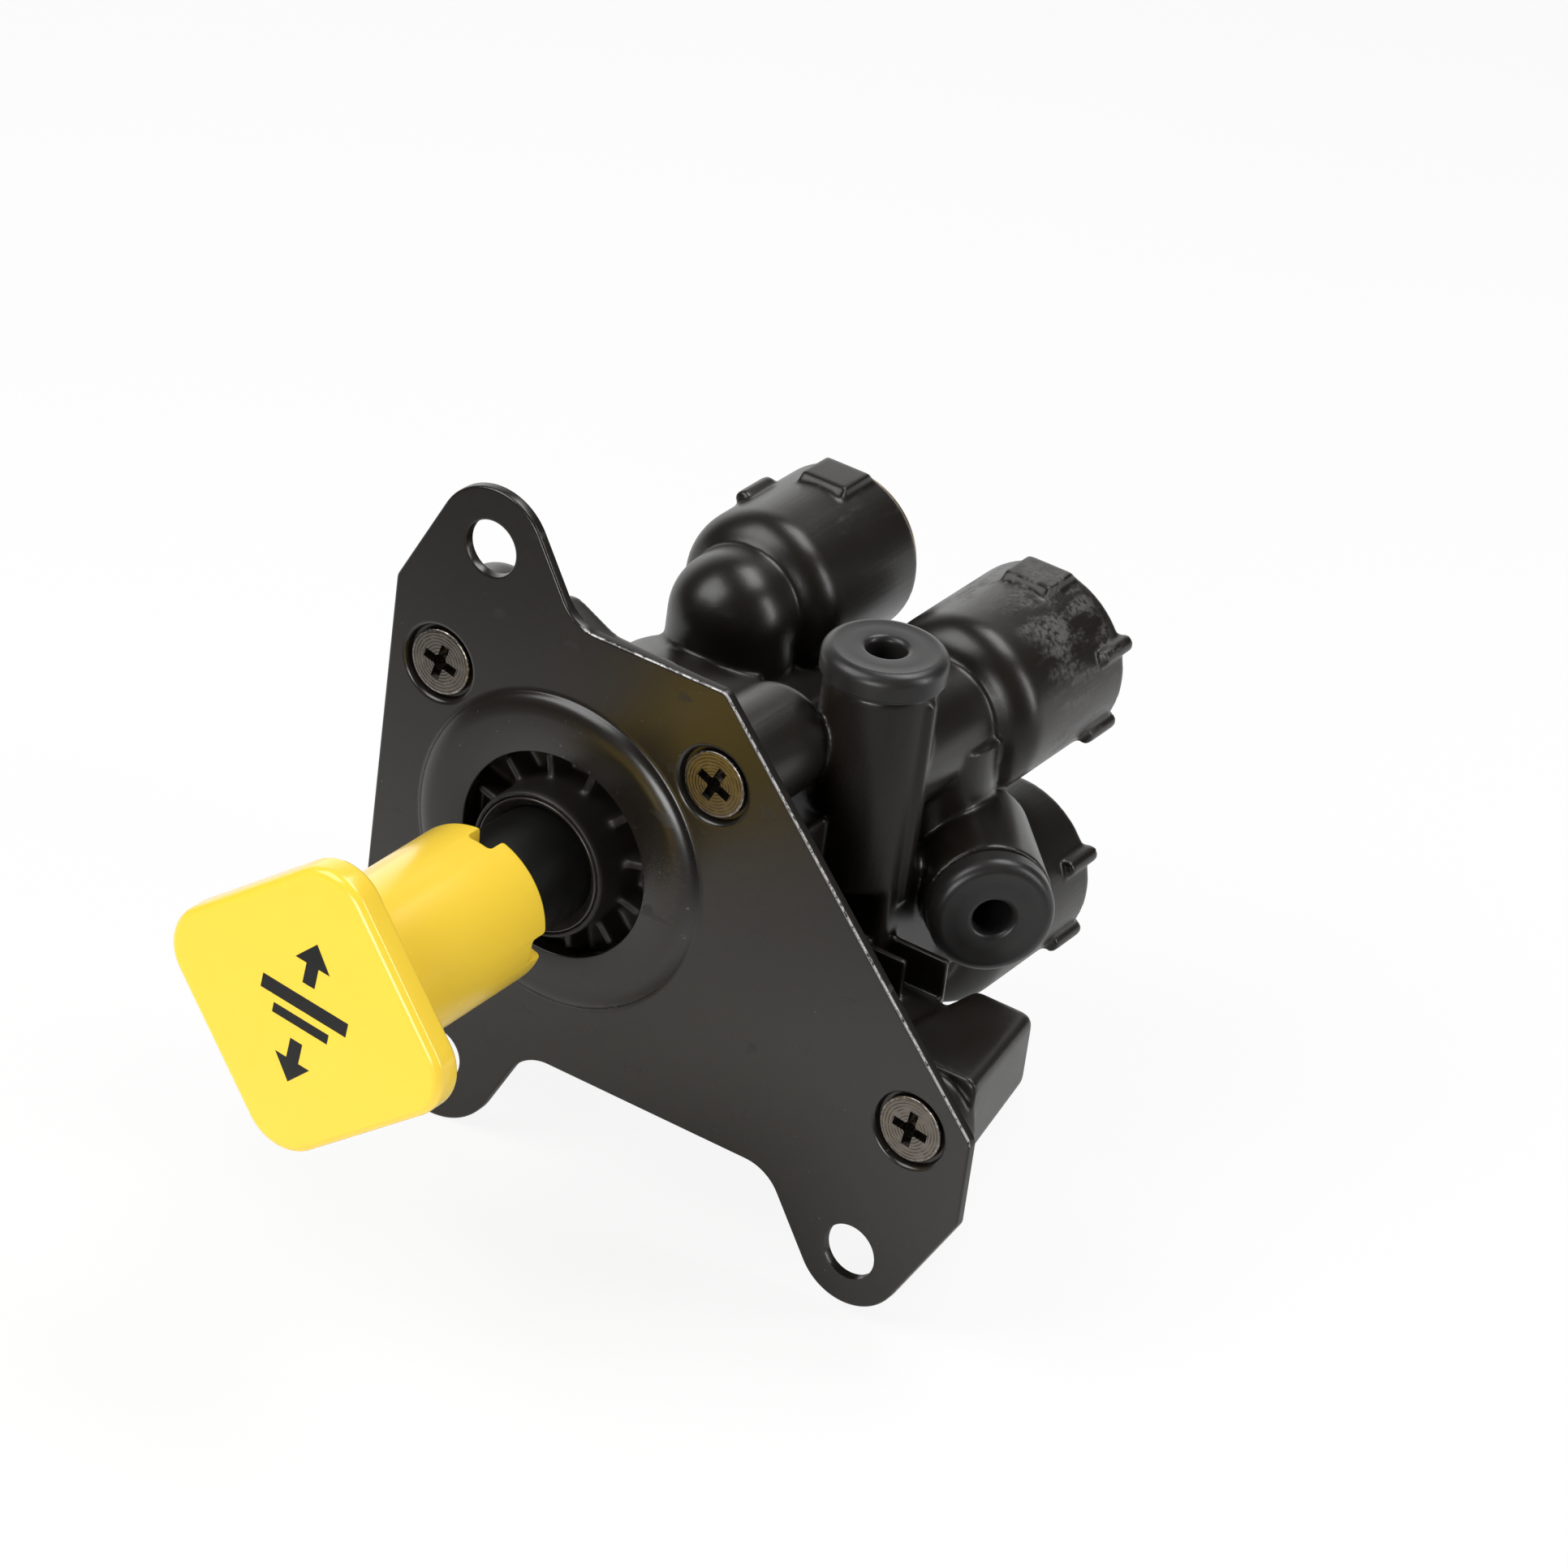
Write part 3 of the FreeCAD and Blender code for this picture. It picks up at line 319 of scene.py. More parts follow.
def yellow_plastic():
    """Glossy moulded yellow with faint sink and a few hairline marks."""
    yellow = Finish("knob_yellow", (1.0, 0.7, 0.05), 0.24, coat_weight=0.3, coat_roughness=0.1)
    cloud = yellow.noise(14, 2)
    hair = yellow.noise(1.6, 6, (6, 1, 0.5), 0.7).over(0.68, 0.74)
    colour = yellow.mixed(cloud, (1.0, 0.7, 0.062, 1), (1.0, 0.67, 0.05, 1))
    rough = 0.2 + cloud * 0.07 + hair * 0.1
    normal = yellow.bump(yellow.noise(5, 1), 0.02, yellow.bump(hair, 0.003))
    yellow.put(yellow.shader, {"Base Color": colour, "Roughness": rough, "Normal": normal})
    return yellow.material


def plain_finish(name, colour, roughness, metallic, size, depth):
    """One colour with small changes of tone, roughness and surface."""
    spread = 0.25
    finish = Finish(name, colour, roughness, metallic)
    cloud = finish.noise(size * 6, 3)
    fine = finish.noise(size, 3)
    darker = tuple(c * (1 - spread) for c in colour) + (1,)
    lighter = tuple(min(1, c * (1 + spread)) for c in colour) + (1,)
    finish.put(finish.shader, {
        "Base Color": finish.mixed(cloud, darker, lighter),
        "Roughness": cloud * 0.12 + fine * 0.06 + (roughness - 0.09),
        "Normal": finish.bump(fine, depth),
    })
    return finish.material


def turned_brass(name, bright, tarnished, pitch=0.2):
    """Brass with turning rings round each port's own axis and slight tarnish."""
    brass = Finish(name, bright, 0.3, 1.0)
    radius = brass.turning_radius()
    rings = radius.maths("SINE", radius * (2000 * math.pi / pitch))
    tarnish = brass.noise(2.4, 4)
    colour = brass.mixed(tarnish.over(0.4, 0.75), bright + (1,), tarnished + (1,))
    brass.put(brass.shader, {
        "Base Color": colour,
        "Roughness": 0.24 + tarnish * 0.2,
        "Normal": brass.bump(rings, 0.004),
    })
    return brass.material


def new_piece(name, points, faces, material, smooth_angle=40):
    """Mesh object from points in the frame, with outward normals and smooth curved faces."""
    mesh = bpy.data.meshes.new(name)
    mesh.from_pydata([tuple(p) for p in points], [], faces)
    return finished(name, mesh, material, smooth_angle)


def finished(name, mesh, material, smooth_angle=40):
    """Object of a mesh whose doubles are merged and whose faces point outwards."""
    work = bmesh.new()
    work.from_mesh(mesh)
    bmesh.ops.remove_doubles(work, verts=work.verts, dist=2e-6)
    bmesh.ops.recalc_face_normals(work, faces=work.faces)
    work.to_mesh(mesh)
    work.free()
    for face in mesh.polygons:
        face.use_smooth = True
    mesh.set_sharp_from_angle(angle=math.radians(smooth_angle))
    mesh.materials.clear()
    mesh.materials.append(material)
    piece = bpy.data.objects.new(name, mesh)
    bpy.context.scene.collection.objects.link(piece)
    return piece


def arc(cx, cy, radius, start, stop, steps=6):
    """Points of an arc in a profile, by angles in degrees."""
    points = []
    for i in range(steps + 1):
        angle = math.radians(start + (stop - start) * i / steps)
        points.append((cx + radius * math.cos(angle), cy + radius * math.sin(angle)))
    return points


def lathe(name, profile, material, at=(0, 0, 0), along=(0, 1, 0), turns=128):
    """Closed ring or solid from (radius, height) points; the height runs along a direction from at."""
    towards = Vector(along).normalized()
    side = towards.orthogonal().normalized()
    third = towards.cross(side)
    points = []
    for i in range(turns):
        angle = 2 * math.pi * i / turns
        out = side * math.cos(angle) + third * math.sin(angle)
        for radius, height in profile:
            spot = Vector(at) + out * radius + towards * height
            points.append(place(*spot))
    size = len(profile)
    faces = []
    for i in range(turns):
        here = i * size
        there = (i + 1) % turns * size
        for j in range(size):
            k = (j + 1) % size
            faces.append((here + j, here + k, there + k, there + j))
    return new_piece(name, points, faces, material)


def joined(name, pieces):
    """One mesh from several, in the first one's object."""
    work = bmesh.new()
    for piece in pieces:
        work.from_mesh(piece.data)
    mesh = pieces[0].data.copy()
    work.to_mesh(mesh)
    work.free()
    for piece in pieces:
        bpy.data.objects.remove(piece)
    piece = bpy.data.objects.new(name, mesh)
    bpy.context.scene.collection.objects.link(piece)
    return piece


def rounded_loop(corners, steps):
    """Points along an outline with rounded corners, from (x, z, radius) corners."""
    loop = []
    count = len(corners)
    for i in range(count):
        x, z, radius = corners[i]
        here = Vector((x, z))
        before = (Vector(corners[i - 1][:2]) - here).normalized()
        after = (Vector(corners[(i + 1) % count][:2]) - here).normalized()
        half = before.angle(after) / 2
        centre = here + (before + after).normalized() * (radius / math.sin(half))
        first = here + before * (radius / math.tan(half)) - centre
        last = here + after * (radius / math.tan(half)) - centre
        sweep = first.angle_signed(last)
        number = max(2, round(steps * abs(sweep) / math.pi))
        for j in range(number + 1):
            turn = Matrix.Rotation(-sweep * j / number, 2)
            loop.append(centre + turn @ first)
    return loop


def tangent(bend, hole, radius, side):
    """Direction from a bend of the outline along the line that touches an ear's circle."""
    dx = hole[0] - bend[0]
    dz = hole[1] - bend[1]
    angle = math.atan2(dz, dx) + side * math.asin(radius / math.hypot(dx, dz))
    return math.cos(angle), math.sin(angle)


def ear_tip(hole, radius, first, second):
    """Corner where an ear's two straight sides would meet."""
    ax, az = tangent(first, hole, radius, 1)
    bx, bz = tangent(second, hole, radius, -1)
    dx = second[0] - first[0]
    dz = second[1] - first[1]
    along = (dx * bz - dz * bx) / (ax * bz - az * bx)
    return first[0] + ax * along, first[1] + az * along, radius


def plate_corners():
    left_top = (PLATE_LEFT, BEND_LEFT_Z)
    left_low = (PLATE_LEFT, -BEND_LEFT_Z)
    right_low = (PLATE_RIGHT, -BEND_RIGHT_Z)
    inner_top = (HOLES[0][0] + EAR_INNER, PLATE_TOP)
    inner_low = (HOLES[1][0] + EAR_INNER, PLATE_LOW)
    inner_right = (HOLES[2][0] - EAR_INNER, PLATE_LOW)
    return [
        left_top + (CORNER_R,),
        ear_tip(HOLES[0], EARS[0], left_top, inner_top),
        inner_top + (EAR_FILLET,),
        (CUT_X, PLATE_TOP, CORNER_R),
        (PLATE_RIGHT, CUT_Z, CORNER_R),
        right_low + (CORNER_R,),
        ear_tip(HOLES[2], EARS[2], right_low, inner_right),
        inner_right + (EAR_FILLET,),
        inner_low + (EAR_FILLET,),
        ear_tip(HOLES[1], EARS[1], inner_low, left_low),
        left_low + (CORNER_R,),
    ]


def inward(loop, distance):
    """The outline moved in by a distance along its corner normals."""
    moved = []
    for i in range(len(loop)):
        run = (loop[(i + 1) % len(loop)] - loop[i - 1]).normalized()
        moved.append(loop[i] + Vector((run.y, -run.x)) * distance)
    return moved


def circle_loop(x, z, radius, steps):
    """Points round a circle in the plate's plane."""
    loop = []
    for i in range(steps):
        angle = 2 * math.pi * i / steps
        loop.append(Vector((x + radius * math.cos(angle), z + radius * math.sin(angle))))
    return loop


def plate_sheet(loops, y):
    """Flat sheet between an outline and the circles in it, as points and triangles."""
    points = []
    edges = []
    for loop in loops:
        start = len(points)
        points += loop
        edges += [(start + i, start + (i + 1) % len(loop)) for i in range(len(loop))]
    filled = delaunay_2d_cdt(points, edges, [], 0, 1e-6)
    spots = filled[0]
    kept = []
    for face in filled[2]:
        middle = sum((spots[i] for i in face), Vector((0, 0))) / len(face)
        if inside(middle, loops[0]) and not any(inside(middle, hole) for hole in loops[1:]):
            kept.append(face)
    return [place(s.x, y, s.y) for s in spots], kept


def inside(point, loop):
    """Whether a point lies within a closed outline."""
    crossings = 0
    for i in range(len(loop)):
        a = loop[i - 1]
        b = loop[i]
        if (a.y > point.y) != (b.y > point.y):
            crossings += point.x < (b.x - a.x) * (point.y - a.y) / (b.y - a.y) + a.x
    return crossings % 2 == 1


def walls(rows):
    """Bands of faces between loops with the same number of points, each as (loop, y)."""
    points = []
    faces = []
    size = len(rows[0][0])
    for loop, y in rows:
        points += [place(p.x, y, p.y) for p in loop]
    for i in range(len(rows) - 1):
        for j in range(size):
            k = (j + 1) % size
            faces.append((i * size + j, i * size + k, (i + 1) * size + k, (i + 1) * size + j))
    return points, faces


def cone_y(radius):
    """Height at which a screw's cone has a radius."""
    return HEAD_Y + (HEAD_R - radius) / math.tan(math.radians(CONE))


def stamped_plate(material):
    """Plate with rolled edges, a raised ring and screw dimples, all one closed sheet."""
    outline = rounded_loop(plate_corners(), 40)
    parts = []
    edge = arc(EDGE_R, EDGE_R, EDGE_R, -90, -180, 4)
    rows = [(inward(outline, EDGE_R + FLAT), 0)]
    rows += [(inward(outline, d), y) for d, y in edge]
    rows += [(outline, PLATE_T - REAR_EDGE), (inward(outline, REAR_EDGE), PLATE_T)]
    parts.append(walls(rows))
    front = [rows[0][0]]
    rear = [rows[-1][0]]
    lip_r = HOLE_R + HOLE_LIP
    hole_wall = [(lip_r + FLAT, 0), (lip_r, 0), (HOLE_R + 0.09, 0.09), (HOLE_R, HOLE_LIP),
                 (HOLE_R, PLATE_T - REAR_EDGE), (HOLE_R + REAR_EDGE, PLATE_T)]
    for x, z in HOLES:
        parts.append(walls([(circle_loop(x, z, r, 64), y) for r, y in hole_wall]))
        front.append(circle_loop(x, z, lip_r + FLAT, 64))
        rear.append(circle_loop(x, z, HOLE_R + REAR_EDGE, 64))
    throat_y = cone_y(THROAT_R)
    dimple = [(DIMPLE_R + FLAT, 0)] + arc(DIMPLE_R, 0.8, 0.8, -90, -165, 8)
    dimple += [(DIMPLE_R - 0.9, 1.0), (DIMPLE_R - 1.0, 1.5), (5.4, 1.55), (THROAT_R, throat_y)]
    dimple += [(DIMPLE_R - 0.8, throat_y), (DIMPLE_R, PLATE_T)]
    for x, z in [screw[:2] for screw in SCREWS]:
        parts.append(walls([(circle_loop(x, z, r, 72), y) for r, y in dimple]))
        front.append(circle_loop(x, z, DIMPLE_R + FLAT, 72))
        rear.append(circle_loop(x, z, DIMPLE_R, 72))
    top = -RING_H
    ring = [(RING_FOOT_R + FLAT, 0), (RING_FOOT_R, 0)]
    ring += [(RING_FOOT_R - 0.35, -0.04), (RING_FOOT_R - 0.65, -0.17)]
    for i in range(10):
        turn = math.radians(78 - 78 * i / 9)
        ring.append((RING_TOP_R + 1.0 + 3.7 * math.sin(turn), top * math.cos(turn) ** 1.2))
    ring += arc(MOUTH_R + 0.35, top + 0.35, 0.35, -90, -180, 3)
    ring += [(MOUTH_R, top + PLATE_T), (RING_TOP_R - 0.4, top + PLATE_T)]
    ring += [(RING_FOOT_R - 1.5, PLATE_T), (RING_FOOT_R, PLATE_T)]
    parts.append(walls([(circle_loop(0, 0, r, 160), y) for r, y in ring]))
    front.append(circle_loop(0, 0, RING_FOOT_R + FLAT, 160))
    rear.append(circle_loop(0, 0, RING_FOOT_R, 160))
    parts.append(plate_sheet(front, 0))
    parts.append(plate_sheet(rear, PLATE_T))
    points = []
    faces = []
    for spots, bands in parts:
        faces += [tuple(len(points) + i for i in face) for face in bands]
        points += spots
    plate = new_piece("stamped_plate", points, faces, material, 28)
    mark_bare_edge(plate)
    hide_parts("mounting_plate")
    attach(plate, "housing")


def mark_bare_edge(plate):
    """Writes how bare the cut edge is: most on the long slanted edge, less on the top edge."""
    bare = plate.data.attributes.new("bare", "FLOAT", "POINT")
    slope = Vector((PLATE_RIGHT - CUT_X, CUT_Z - PLATE_TOP)).normalized()
    across = Vector((-slope.y, slope.x))
    for i, vertex in enumerate(plate.data.vertices):
        x = (vertex.co.x - AXIS_X) * 1000
        y = vertex.co.y * 1000
        z = vertex.co.z * 1000
        lean = abs((Vector((x, z)) - Vector((CUT_X, PLATE_TOP))).dot(across))
        if 0.1 < y < 0.3 and x > CUT_X - 1 and lean < 0.5:
            bare.data[i].value = 1.0
        elif 0.1 < y < 0.3 and abs(z - PLATE_TOP) < 0.5:
            bare.data[i].value = 0.6


def soft_housing(material):
    """The CAD moulding with its sharp joints melted into the soft blends of a real one."""
    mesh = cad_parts["housing"].data.copy()
    work = bmesh.new()
    work.from_mesh(mesh)
    bmesh.ops.remove_doubles(work, verts=work.verts, dist=2e-6)
    work.to_mesh(mesh)
    work.free()
    rough = bpy.data.objects.new("housing_rough", mesh)
    bpy.context.scene.collection.objects.link(rough)
    voxels = rough.modifiers.new("skin", "REMESH")
    voxels.mode = "VOXEL"
    voxels.voxel_size = 0.00042
    soften = rough.modifiers.new("soften", "SMOOTH")
    soften.factor = 0.5
    soften.iterations = 14
    thin = rough.modifiers.new("thin", "DECIMATE")
    thin.ratio = 0.21
    evaluated = rough.evaluated_get(bpy.context.evaluated_depsgraph_get())
    skin = bpy.data.meshes.new_from_object(evaluated)
    bpy.data.objects.remove(rough)
    print("housing triangles", sum(len(p.vertices) - 2 for p in skin.polygons))
    housing = finished("moulded_housing", skin, material, 60)
    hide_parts("housing")
    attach(housing, "housing")


def cross_recess_screw(material):
    """One flat-head screw on the Y axis: lathe-turned head and shank with a cross recess."""
    top = HEAD_TOP
    profile = [(0.001, top), (1.0, top), (3.0, top), (5.0, top)]
    profile += arc(HEAD_R - 0.4, top + 0.4, 0.4, -90, 0, 5)
    profile += [(HEAD_R, HEAD_Y - 0.02), (3.0, cone_y(3.0)), (3.0, 17.8), (2.0, 19.0), (0.001, 19.0)]
    blank = lathe("screw_blank", profile, material, turns=96)
    cutter = bmesh.new()
    for turn in (0, 90):
        made = bmesh.ops.create_cube(cutter, size=1.0)["verts"]
        for corner in made:
            if corner.co.y > 0:
                corner.co.x *= 0.55
                corner.co.z *= 0.7
        stretch = Matrix.Diagonal((0.0085, 0.0044, 0.0019, 1))
        turned = Matrix.Rotation(math.radians(turn), 4, "Y") @ stretch
        bmesh.ops.transform(cutter, matrix=turned, verts=made)
    pit = bmesh.ops.create_cone(cutter, segments=32, radius1=0.0006, radius2=0.0021, depth=0.0046,
                                cap_ends=True)["verts"]
    bmesh.ops.transform(cutter, matrix=Matrix.Rotation(math.radians(90), 4, "X"), verts=pit)
    bmesh.ops.transform(cutter, matrix=Matrix.Translation(place(0, top, 0)), verts=cutter.verts)
    tool_mesh = bpy.data.meshes.new("recess")
    cutter.to_mesh(tool_mesh)
    cutter.free()
    tool = bpy.data.objects.new("recess", tool_mesh)
    bpy.context.scene.collection.objects.link(tool)
    cut = blank.modifiers.new("recess", "BOOLEAN")
    cut.operation = "DIFFERENCE"
    cut.solver = "EXACT"
    cut.use_self = True
    cut.object = tool
    soft = blank.modifiers.new("edges", "BEVEL")
    soft.width = 0.0002
    soft.segments = 2
    soft.limit_method = "ANGLE"
    soft.angle_limit = math.radians(50)
    mesh = bpy.data.meshes.new_from_object(blank.evaluated_get(bpy.context.evaluated_depsgraph_get()))
    bpy.data.objects.remove(tool)
    bpy.data.objects.remove(blank)
    mesh.transform(Matrix.Translation(-place(0, 0, 0)))
    return finished("screw_pattern", mesh, material, 35)


def repeated_on_points(name, pattern, spots, material, node_names, body):
    """Sets the pattern on each (place, turn) spot with a node tree; keeps each copy's own place."""
    mesh = bpy.data.meshes.new(name)
    mesh.from_pydata([tuple(spot) for spot, turn in spots], [], [])
    turns = mesh.attributes.new("turn", "FLOAT_VECTOR", "POINT")
    for i, (spot, turn) in enumerate(spots):
        turns.data[i].vector = (0, math.radians(turn), 0)
    piece = bpy.data.objects.new(name, mesh)
    bpy.context.scene.collection.objects.link(piece)

    tree = bpy.data.node_groups.new(name, "GeometryNodeTree")
    tree.interface.new_socket("Geometry", in_out="INPUT", socket_type="NodeSocketGeometry")
    tree.interface.new_socket("Pattern", in_out="INPUT", socket_type="NodeSocketObject")
    size = tree.interface.new_socket("Size", in_out="INPUT", socket_type="NodeSocketFloat")
    size.default_value = 1.0
    tree.interface.new_socket("Geometry", in_out="OUTPUT", socket_type="NodeSocketGeometry")
    nodes = tree.nodes
    links = tree.links
    given = nodes.new("NodeGroupInput")
    result = nodes.new("NodeGroupOutput")
    source = nodes.new("GeometryNodeObjectInfo")
    links.new(given.outputs["Pattern"], source.inputs["Object"])
    spot = nodes.new("GeometryNodeInputPosition")
    store = nodes.new("GeometryNodeStoreNamedAttribute")
    store.data_type = "FLOAT_VECTOR"
    store.inputs["Name"].default_value = "from_axis"
    links.new(source.outputs["Geometry"], store.inputs["Geometry"])
    links.new(spot.outputs["Position"], store.inputs["Value"])
    turn = nodes.new("GeometryNodeInputNamedAttribute")
    turn.data_type = "FLOAT_VECTOR"
    turn.inputs["Name"].default_value = "turn"
    to_points = nodes.new("GeometryNodeMeshToPoints")
    links.new(given.outputs["Geometry"], to_points.inputs["Mesh"])
    copies = nodes.new("GeometryNodeInstanceOnPoints")
    links.new(to_points.outputs["Points"], copies.inputs["Points"])
    links.new(store.outputs["Geometry"], copies.inputs["Instance"])
    links.new(turn.outputs["Attribute"], copies.inputs["Rotation"])
    links.new(given.outputs["Size"], copies.inputs["Scale"])
    real = nodes.new("GeometryNodeRealizeInstances")
    links.new(copies.outputs["Instances"], real.inputs["Geometry"])
    finish = nodes.new("GeometryNodeSetMaterial")
    finish.inputs["Material"].default_value = material
    links.new(real.outputs["Geometry"], finish.inputs["Geometry"])
    links.new(finish.outputs["Geometry"], result.inputs["Geometry"])

    maker = piece.modifiers.new("copies", "NODES")
    maker.node_group = tree
    maker[tree.interface.items_tree["Pattern"].identifier] = pattern
    made = bpy.data.meshes.new_from_object(piece.evaluated_get(bpy.context.evaluated_depsgraph_get()))
    piece.modifiers.remove(maker)
    piece.data = made
    if node_names:
        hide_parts(*node_names)
    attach(piece, body)


def knob_loop(inset):
    """The square head's outline moved in, as far as its corners keep a radius."""
    half = KNOB_SIDE / 2 - inset
    corner = max(KNOB_CORNER - inset, 0.5)
    loop = rounded_loop([(-half, half, corner), (half, half, corner),
                         (half, -half, corner), (-half, -half, corner)], 64)
    turn = Matrix.Rotation(math.radians(-KNOB_TURN), 2)
    return [turn @ p for p in loop]


def knob_head(material):
    """Square head with soft edges and a face that is very slightly crowned."""
    rows = []
    crown = 0.04
    front_r = 1.5
    rear_r = 1.3
    for d in (20.9, 18.0, 14.0, 10.0, 6.0, 3.5, 2.2):
        rows.append((knob_loop(d), KNOB_FRONT + crown * (1 - d / 21)))
    rows += [(knob_loop(d), KNOB_FRONT + y)
             for d, y in arc(front_r, front_r + crown, front_r, -90, -180, 10)]
    rows += [(knob_loop(d), KNOB_FRONT + y)
             for d, y in arc(rear_r, KNOB_T - rear_r, rear_r, 180, 90, 8)]
    rows += [(knob_loop(d), KNOB_FRONT + KNOB_T) for d in (3.0, 6.0, 9.0, 14.0, 20.9)]
    points, faces = walls(rows)
    size = len(rows[0][0])
    faces.append(tuple(range(size)))
    faces.append(tuple(len(points) - size + i for i in range(size)))
    return new_piece("knob_head", points, faces, material, 50)


def skirt_end(angle):
    """How far the skirt reaches at an angle: back to the notch floor in four notches."""
    nearest = 1e9
    for i in range(4):
        centre = math.radians(-(KNOB_TURN - 45 + 90 * i))
        off = (angle - centre + math.pi) % (2 * math.pi) - math.pi
        nearest = min(nearest, abs(off) * SKIRT_R)
    half = NOTCH_W / 2
    corner = 1.0
    lip = 0.5
    if nearest <= half - corner:
        return NOTCH_L
    if nearest <= half:
        return NOTCH_L - corner + math.sqrt(max(0, corner ** 2 - (nearest - half + corner) ** 2))
    if nearest <= half + lip:
        return lip - math.sqrt(max(0, lip ** 2 - (half + lip - nearest) ** 2))
    return 0.0


def knob_skirt(material):
    """Hollow skirt with four notches in its rim, closed inside round the stem."""
    width = NOTCH_W / 2 / SKIRT_R
    corner = 0.0715
    span = math.pi / 2
    stops = [-span / 2 + span * j / 40 for j in range(40)]
    for side in (-1, 1):
        stops += [side * (width + step / 1000) for step in range(-30, 36, 3)]
        stops += [side * (width - corner * (1 - math.cos(math.radians(a)))) for a in range(0, 91, 10)]
    angles = set()
    for i in range(4):
        centre = math.radians(-(KNOB_TURN - 45 + 90 * i))
        angles.update(round((centre + a) % (2 * math.pi), 5) for a in stops)
    angles = sorted(angles)
    start = KNOB_FRONT + KNOB_T - 0.6
    floor = SKIRT_END - BORE_DEPTH
    points = []
    soft = 0.9
    for angle in angles:
        end = SKIRT_END - skirt_end(angle)
        profile = [(STEM_R, start), (10.0, start), (SKIRT_R + soft, start)]
        profile += arc(SKIRT_R + soft, KNOB_FRONT + KNOB_T + soft, soft, -90, -180, 5)
        profile += [(SKIRT_R, start + 12), (SKIRT_R, start + 24)]
        profile += arc(SKIRT_R - soft, end - soft, soft, 0, 90, 6)
        profile += [(SKIRT_BORE_R + 0.5, end), (SKIRT_BORE_R, end - 0.5)]
        profile += [(SKIRT_BORE_R, floor), (STEM_R, floor)]
        for radius, y in profile:
            points.append(place(radius * math.cos(angle), y, radius * math.sin(angle)))
    size = len(profile)
    faces = []
    for i in range(len(angles)):
        here = i * size
        there = (i + 1) % len(angles) * size
        for j in range(size):
            k = (j + 1) % size
            faces.append((here + j, here + k, there + k, there + j))
    return new_piece("knob_skirt", points, faces, material, 40)


def yellow_knob(material):
    knob = joined("yellow_knob", [knob_head(material), knob_skirt(material)])
    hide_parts("knob")
    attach(knob, "plunger")


def knob_print(ink):
    """Plain printed marks in place of wording: an arrow out, an arrow in and two short bars."""
    shapes = []
    for side in (1, -1):
        tip = side * 13.5
        shapes.append([(0, tip), (3.4, tip - side * 4.2), (1.2, tip - side * 4.2), (1.2, tip - side * 8),
                       (-1.2, tip - side * 8), (-1.2, tip - side * 4.2), (-3.4, tip - side * 4.2)])
    for height, half, thick in ((1.7, 8.5, 1.3), (-1.9, 5.5, 0.9)):
        shapes.append([(-half, height - thick), (half, height - thick), (half, height + thick),
                       (-half, height + thick)])
    pieces = []
    near = KNOB_FRONT - 0.03
    far = near + 0.05
    turn = Matrix.Rotation(math.radians(45 - KNOB_TURN), 2)
    for shape in shapes:
        corners = [turn @ Vector(corner) for corner in shape]
        points = [place(c.x, near, c.y) for c in corners] + [place(c.x, far, c.y) for c in corners]
        count = len(corners)
        faces = [tuple(range(count)), tuple(range(count, 2 * count))]
        faces += [(i, (i + 1) % count, count + (i + 1) % count, count + i) for i in range(count)]
        pieces.append(new_piece("mark", points, faces, ink, 30))
    marks = joined("knob_print", pieces)
    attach(marks, "plunger")


def stem_and_plunger(material):
    """Stem in the knob, glossy neck, and the land with its two ring grooves."""
    shoulder = SKIRT_END - BORE_DEPTH - 0.02
    tail = PLUNGER_REAR + 13
    profile = [(0.001, -61.5), (5.4, -61.5), (6.0, -60.9), (6.0, shoulder), (9.4, shoulder)]
    profile += [(PLUNGER_R, shoulder + 0.52), (PLUNGER_R, -12), (PLUNGER_R, 6.3), (LAND_R, 6.3)]
    for y in GROOVES:
        profile += [(LAND_R, y - GROOVE_HALF), (GROOVE_R, y - GROOVE_HALF)]
        profile += [(GROOVE_R, y + GROOVE_HALF), (LAND_R, y + GROOVE_HALF)]
    profile += [(LAND_R, PLUNGER_REAR), (3.6, PLUNGER_REAR), (3.6, tail), (0.001, tail)]
    plunger = lathe("black_plunger", profile, material)
    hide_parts("plunger")
    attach(plunger, "plunger")


def collar_guide(material):
    """Thin sleeve round the plunger with a bevelled mouth."""
    front = -6.4
    profile = [(11.6, front)] + arc(11.6, front + 0.3, 0.3, -90, 0, 4)[1:]
    profile += [(11.9, 6.0), (10.0, 6.0), (10.0, front + 1.5)]
    guide = lathe("collar_guide", profile, material)
    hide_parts("plunger_guide")
    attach(guide, "housing")


def boss_caps(material):
    """The two check-valve caps: rounded rim, vent hole and a fine step at the foot."""
    angle = math.radians(SIDE_ANGLE)
    side = (math.cos(angle), math.sin(angle), 0)
    profile = [(3.3, -1.1)] + arc(4.4, -1.1, 1.1, 180, 90, 6)
    profile += [(6.5, 0.0), (8.3, -0.05)]
    profile += arc(8.5, -2.05, 2.1, 85, 0, 10)
    profile += [(10.6, -4.3), (10.2, -4.6), (10.2, -5.0), (6.6, -5.0), (6.6, -10.0), (3.3, -10.0)]
    for name, at, along in (("top_cap", TOP_CAP, (0, 0, 1)), ("side_cap", SIDE_CAP, side)):
        cap = lathe("moulded_" + name, profile, material, at, along)
        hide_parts(name)
        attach(cap, "housing")


